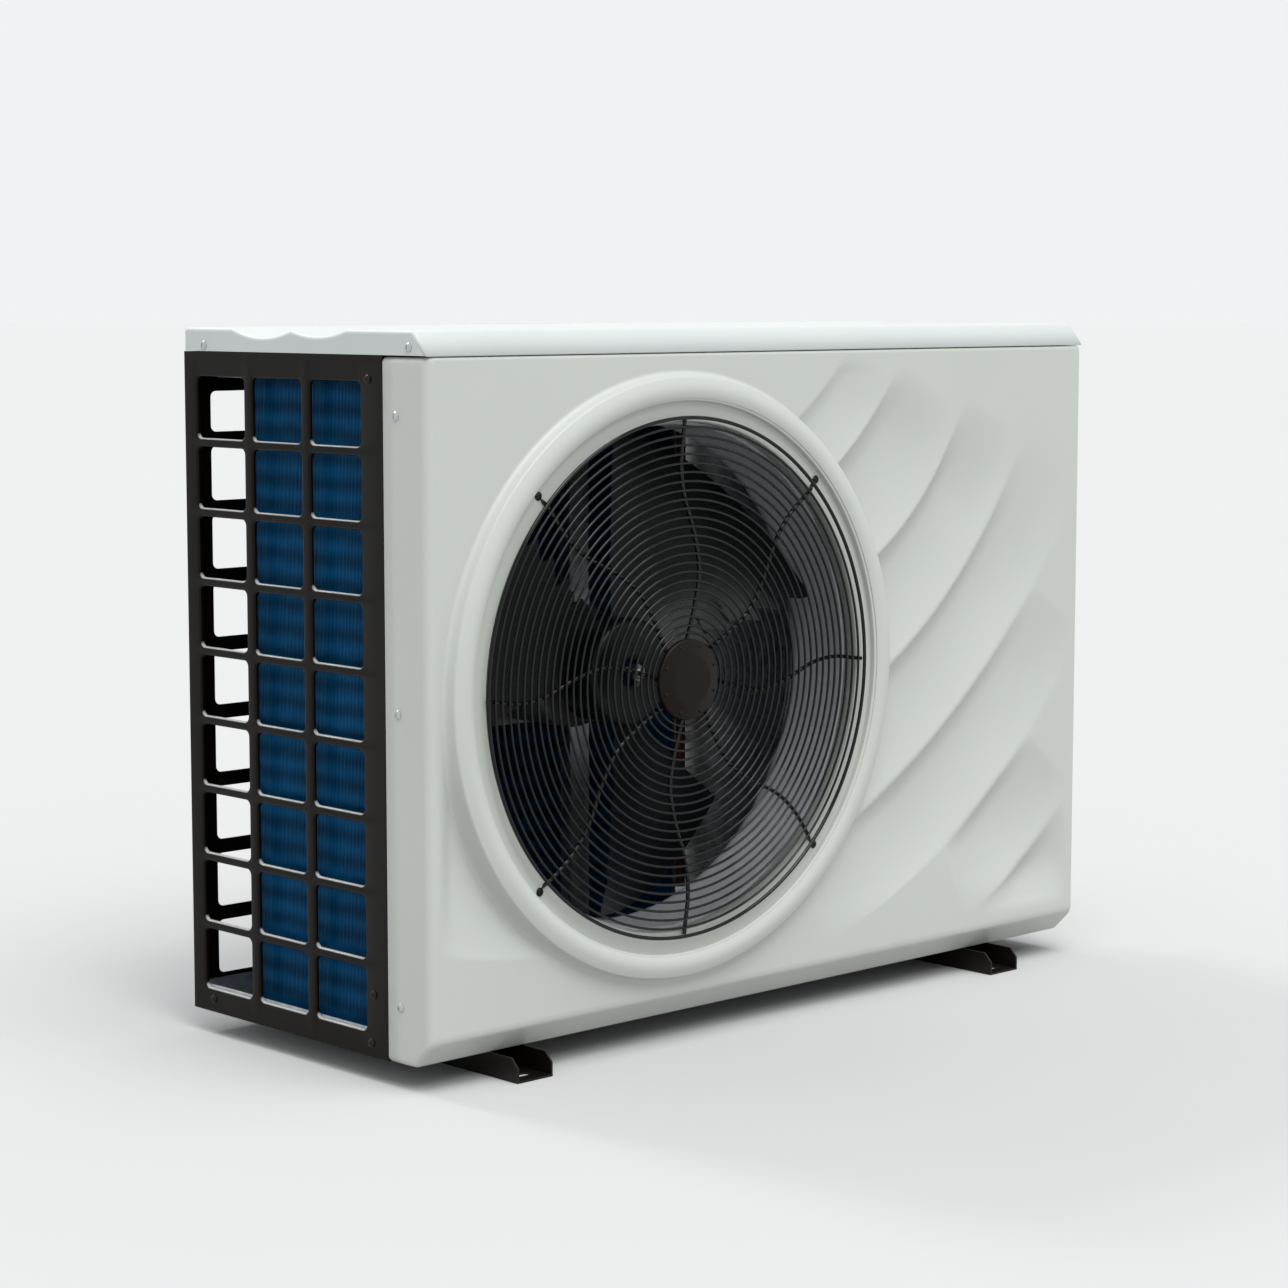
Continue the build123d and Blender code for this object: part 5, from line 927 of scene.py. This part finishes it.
def coil_path(offset):
    """The coil's plan line at this distance inside its outer face, as a function of length, with its
    length."""
    radius = COIL_CORNER - offset
    left_run = fins_high.y - COIL_CORNER - fins_low.y
    back_run = fins_high.x - (fins_low.x + COIL_CORNER)
    quarter = radius * math.pi / 2
    centre = Vector((fins_low.x + COIL_CORNER, fins_high.y - COIL_CORNER, 0))

    def at(length):
        if length < left_run:
            return Vector((fins_low.x + offset, fins_low.y + length, 0)), Vector((1, 0, 0))
        if length < left_run + quarter:
            a = math.pi - (length - left_run) / radius
            out = Vector((math.cos(a), math.sin(a), 0))
            return centre + out * radius, -out
        return Vector((centre.x + length - left_run - quarter, fins_high.y - offset, 0)), Vector((0, -1, 0))

    return at, left_run + quarter + back_run


def build_evaporator():
    """Thin upright fins along the coil's L, with two rows of level tubes through them."""
    at, length = coil_path(COIL_THICKNESS / 2)
    low, high = fins_low.z, fins_high.z
    fins = []
    count = int(length / FIN_PITCH)
    for i in range(count):
        place, inwards = at((i + 0.5) * length / count)
        along = Vector((0, 0, 1)).cross(inwards)
        loops = []
        for side in (-1, 1):
            lean = random.uniform(-1, 1) * FIN_LEAN
            edge = place + inwards * (side * COIL_THICKNESS / 2) + along * lean
            loops.append([edge + along * (FIN_WALL / 2) + Vector((0, 0, z)) for z in (low, high)]
                         + [edge - along * (FIN_WALL / 2) + Vector((0, 0, z)) for z in (high, low)])
        fins.append(skin(loops, caps=True))
    for row in (-ROW_OFFSET, ROW_OFFSET):
        run, run_length = coil_path(COIL_THICKNESS / 2 + row)
        stagger = TUBE_PITCH / 2 if row > 0 else 0.0
        for k in range(TUBES_PER_ROW):
            z = low + FIRST_TUBE + k * TUBE_PITCH + stagger
            steps = np.linspace(0.5 * MM, run_length - 0.5 * MM, 60)
            fins.append(tube([run(s)[0] + Vector((0, 0, z)) for s in steps], TUBE_RADIUS, sides=8))
    piece("evaporator_fin_stack", *joined(fins), fin_blue, nodes=["evaporator_fins"], slot="fin_aluminium",
          sharp=30)


build_evaporator()


# ---------------------------------------------------------------- floor, light and camera
FLOOR_RADIUS = 80.0
FLOOR_GREY = 0.45
SKY_LIGHT = 0.90
# Overhead lights: name, irradiance, width across in degrees, and the direction towards the light.
LIGHTS = [("softbox", 2.7, 50.0, Vector((-0.08, -0.42, 0.90))),
          ("spot", 0.3, 9.0, Vector((-0.14, -0.42, 0.89))),
          ("back_spot", 0.9, 12.0, Vector((-0.05, 0.72, 0.69)))]


def build_studio():
    verts = [(FLOOR_RADIUS * math.cos(a), FLOOR_RADIUS * math.sin(a), 0)
             for a in np.linspace(0, 2 * math.pi, 96, endpoint=False)]
    mesh = bpy.data.meshes.new("studio_floor")
    mesh.from_pydata(verts, [], [tuple(range(len(verts)))])
    floor = bpy.data.objects.new("studio_floor", mesh)
    bpy.context.scene.collection.objects.link(floor)
    mesh.materials.append(finish("studio_floor", (FLOOR_GREY, FLOOR_GREY, FLOOR_GREY), roughness=0.9,
                                 mottle=0.006, mottle_scale=1.5, grain=40, bump=0.0, gloss=0.0))


def build_light():
    for name, irradiance, width, direction in LIGHTS:
        light = bpy.data.lights.new(name, "SUN")
        light.energy = irradiance
        light.angle = math.radians(width)
        lamp = bpy.data.objects.new(name, light)
        lamp.rotation_euler = direction.to_track_quat("Z", "Y").to_euler()
        bpy.context.scene.collection.objects.link(lamp)

    sky = bpy.data.worlds.new("sky")
    sky.use_nodes = True
    background = sky.node_tree.nodes["Background"]
    background.inputs["Color"].default_value = (0.97, 0.99, 1.0, 1)
    background.inputs["Strength"].default_value = SKY_LIGHT
    bpy.context.scene.world = sky
    bpy.context.scene.view_settings.view_transform = "Standard"


CAMERA_AIM = Vector((0.014, 0.02428, 0.39365))  # middle of the casing
CAMERA_DISTANCE = 3.52275
CAMERA_AZIMUTH, CAMERA_ELEVATION = 43.375, 6.452
CAMERA_LENS, CAMERA_SENSOR = 86.84, 36  # in the camera's own millimetres


def build_camera():
    camera = bpy.data.cameras.new("camera")
    camera.lens = CAMERA_LENS
    camera.sensor_width = CAMERA_SENSOR
    viewer = bpy.data.objects.new("camera", camera)
    viewer.rotation_euler = [math.radians(a) for a in (90 - CAMERA_ELEVATION, 0, -CAMERA_AZIMUTH)]
    back = viewer.rotation_euler.to_matrix() @ Vector((0, 0, 1))
    viewer.location = CAMERA_AIM + back * CAMERA_DISTANCE
    bpy.context.scene.collection.objects.link(viewer)
    bpy.context.scene.camera = viewer


build_studio()
build_light()
build_camera()
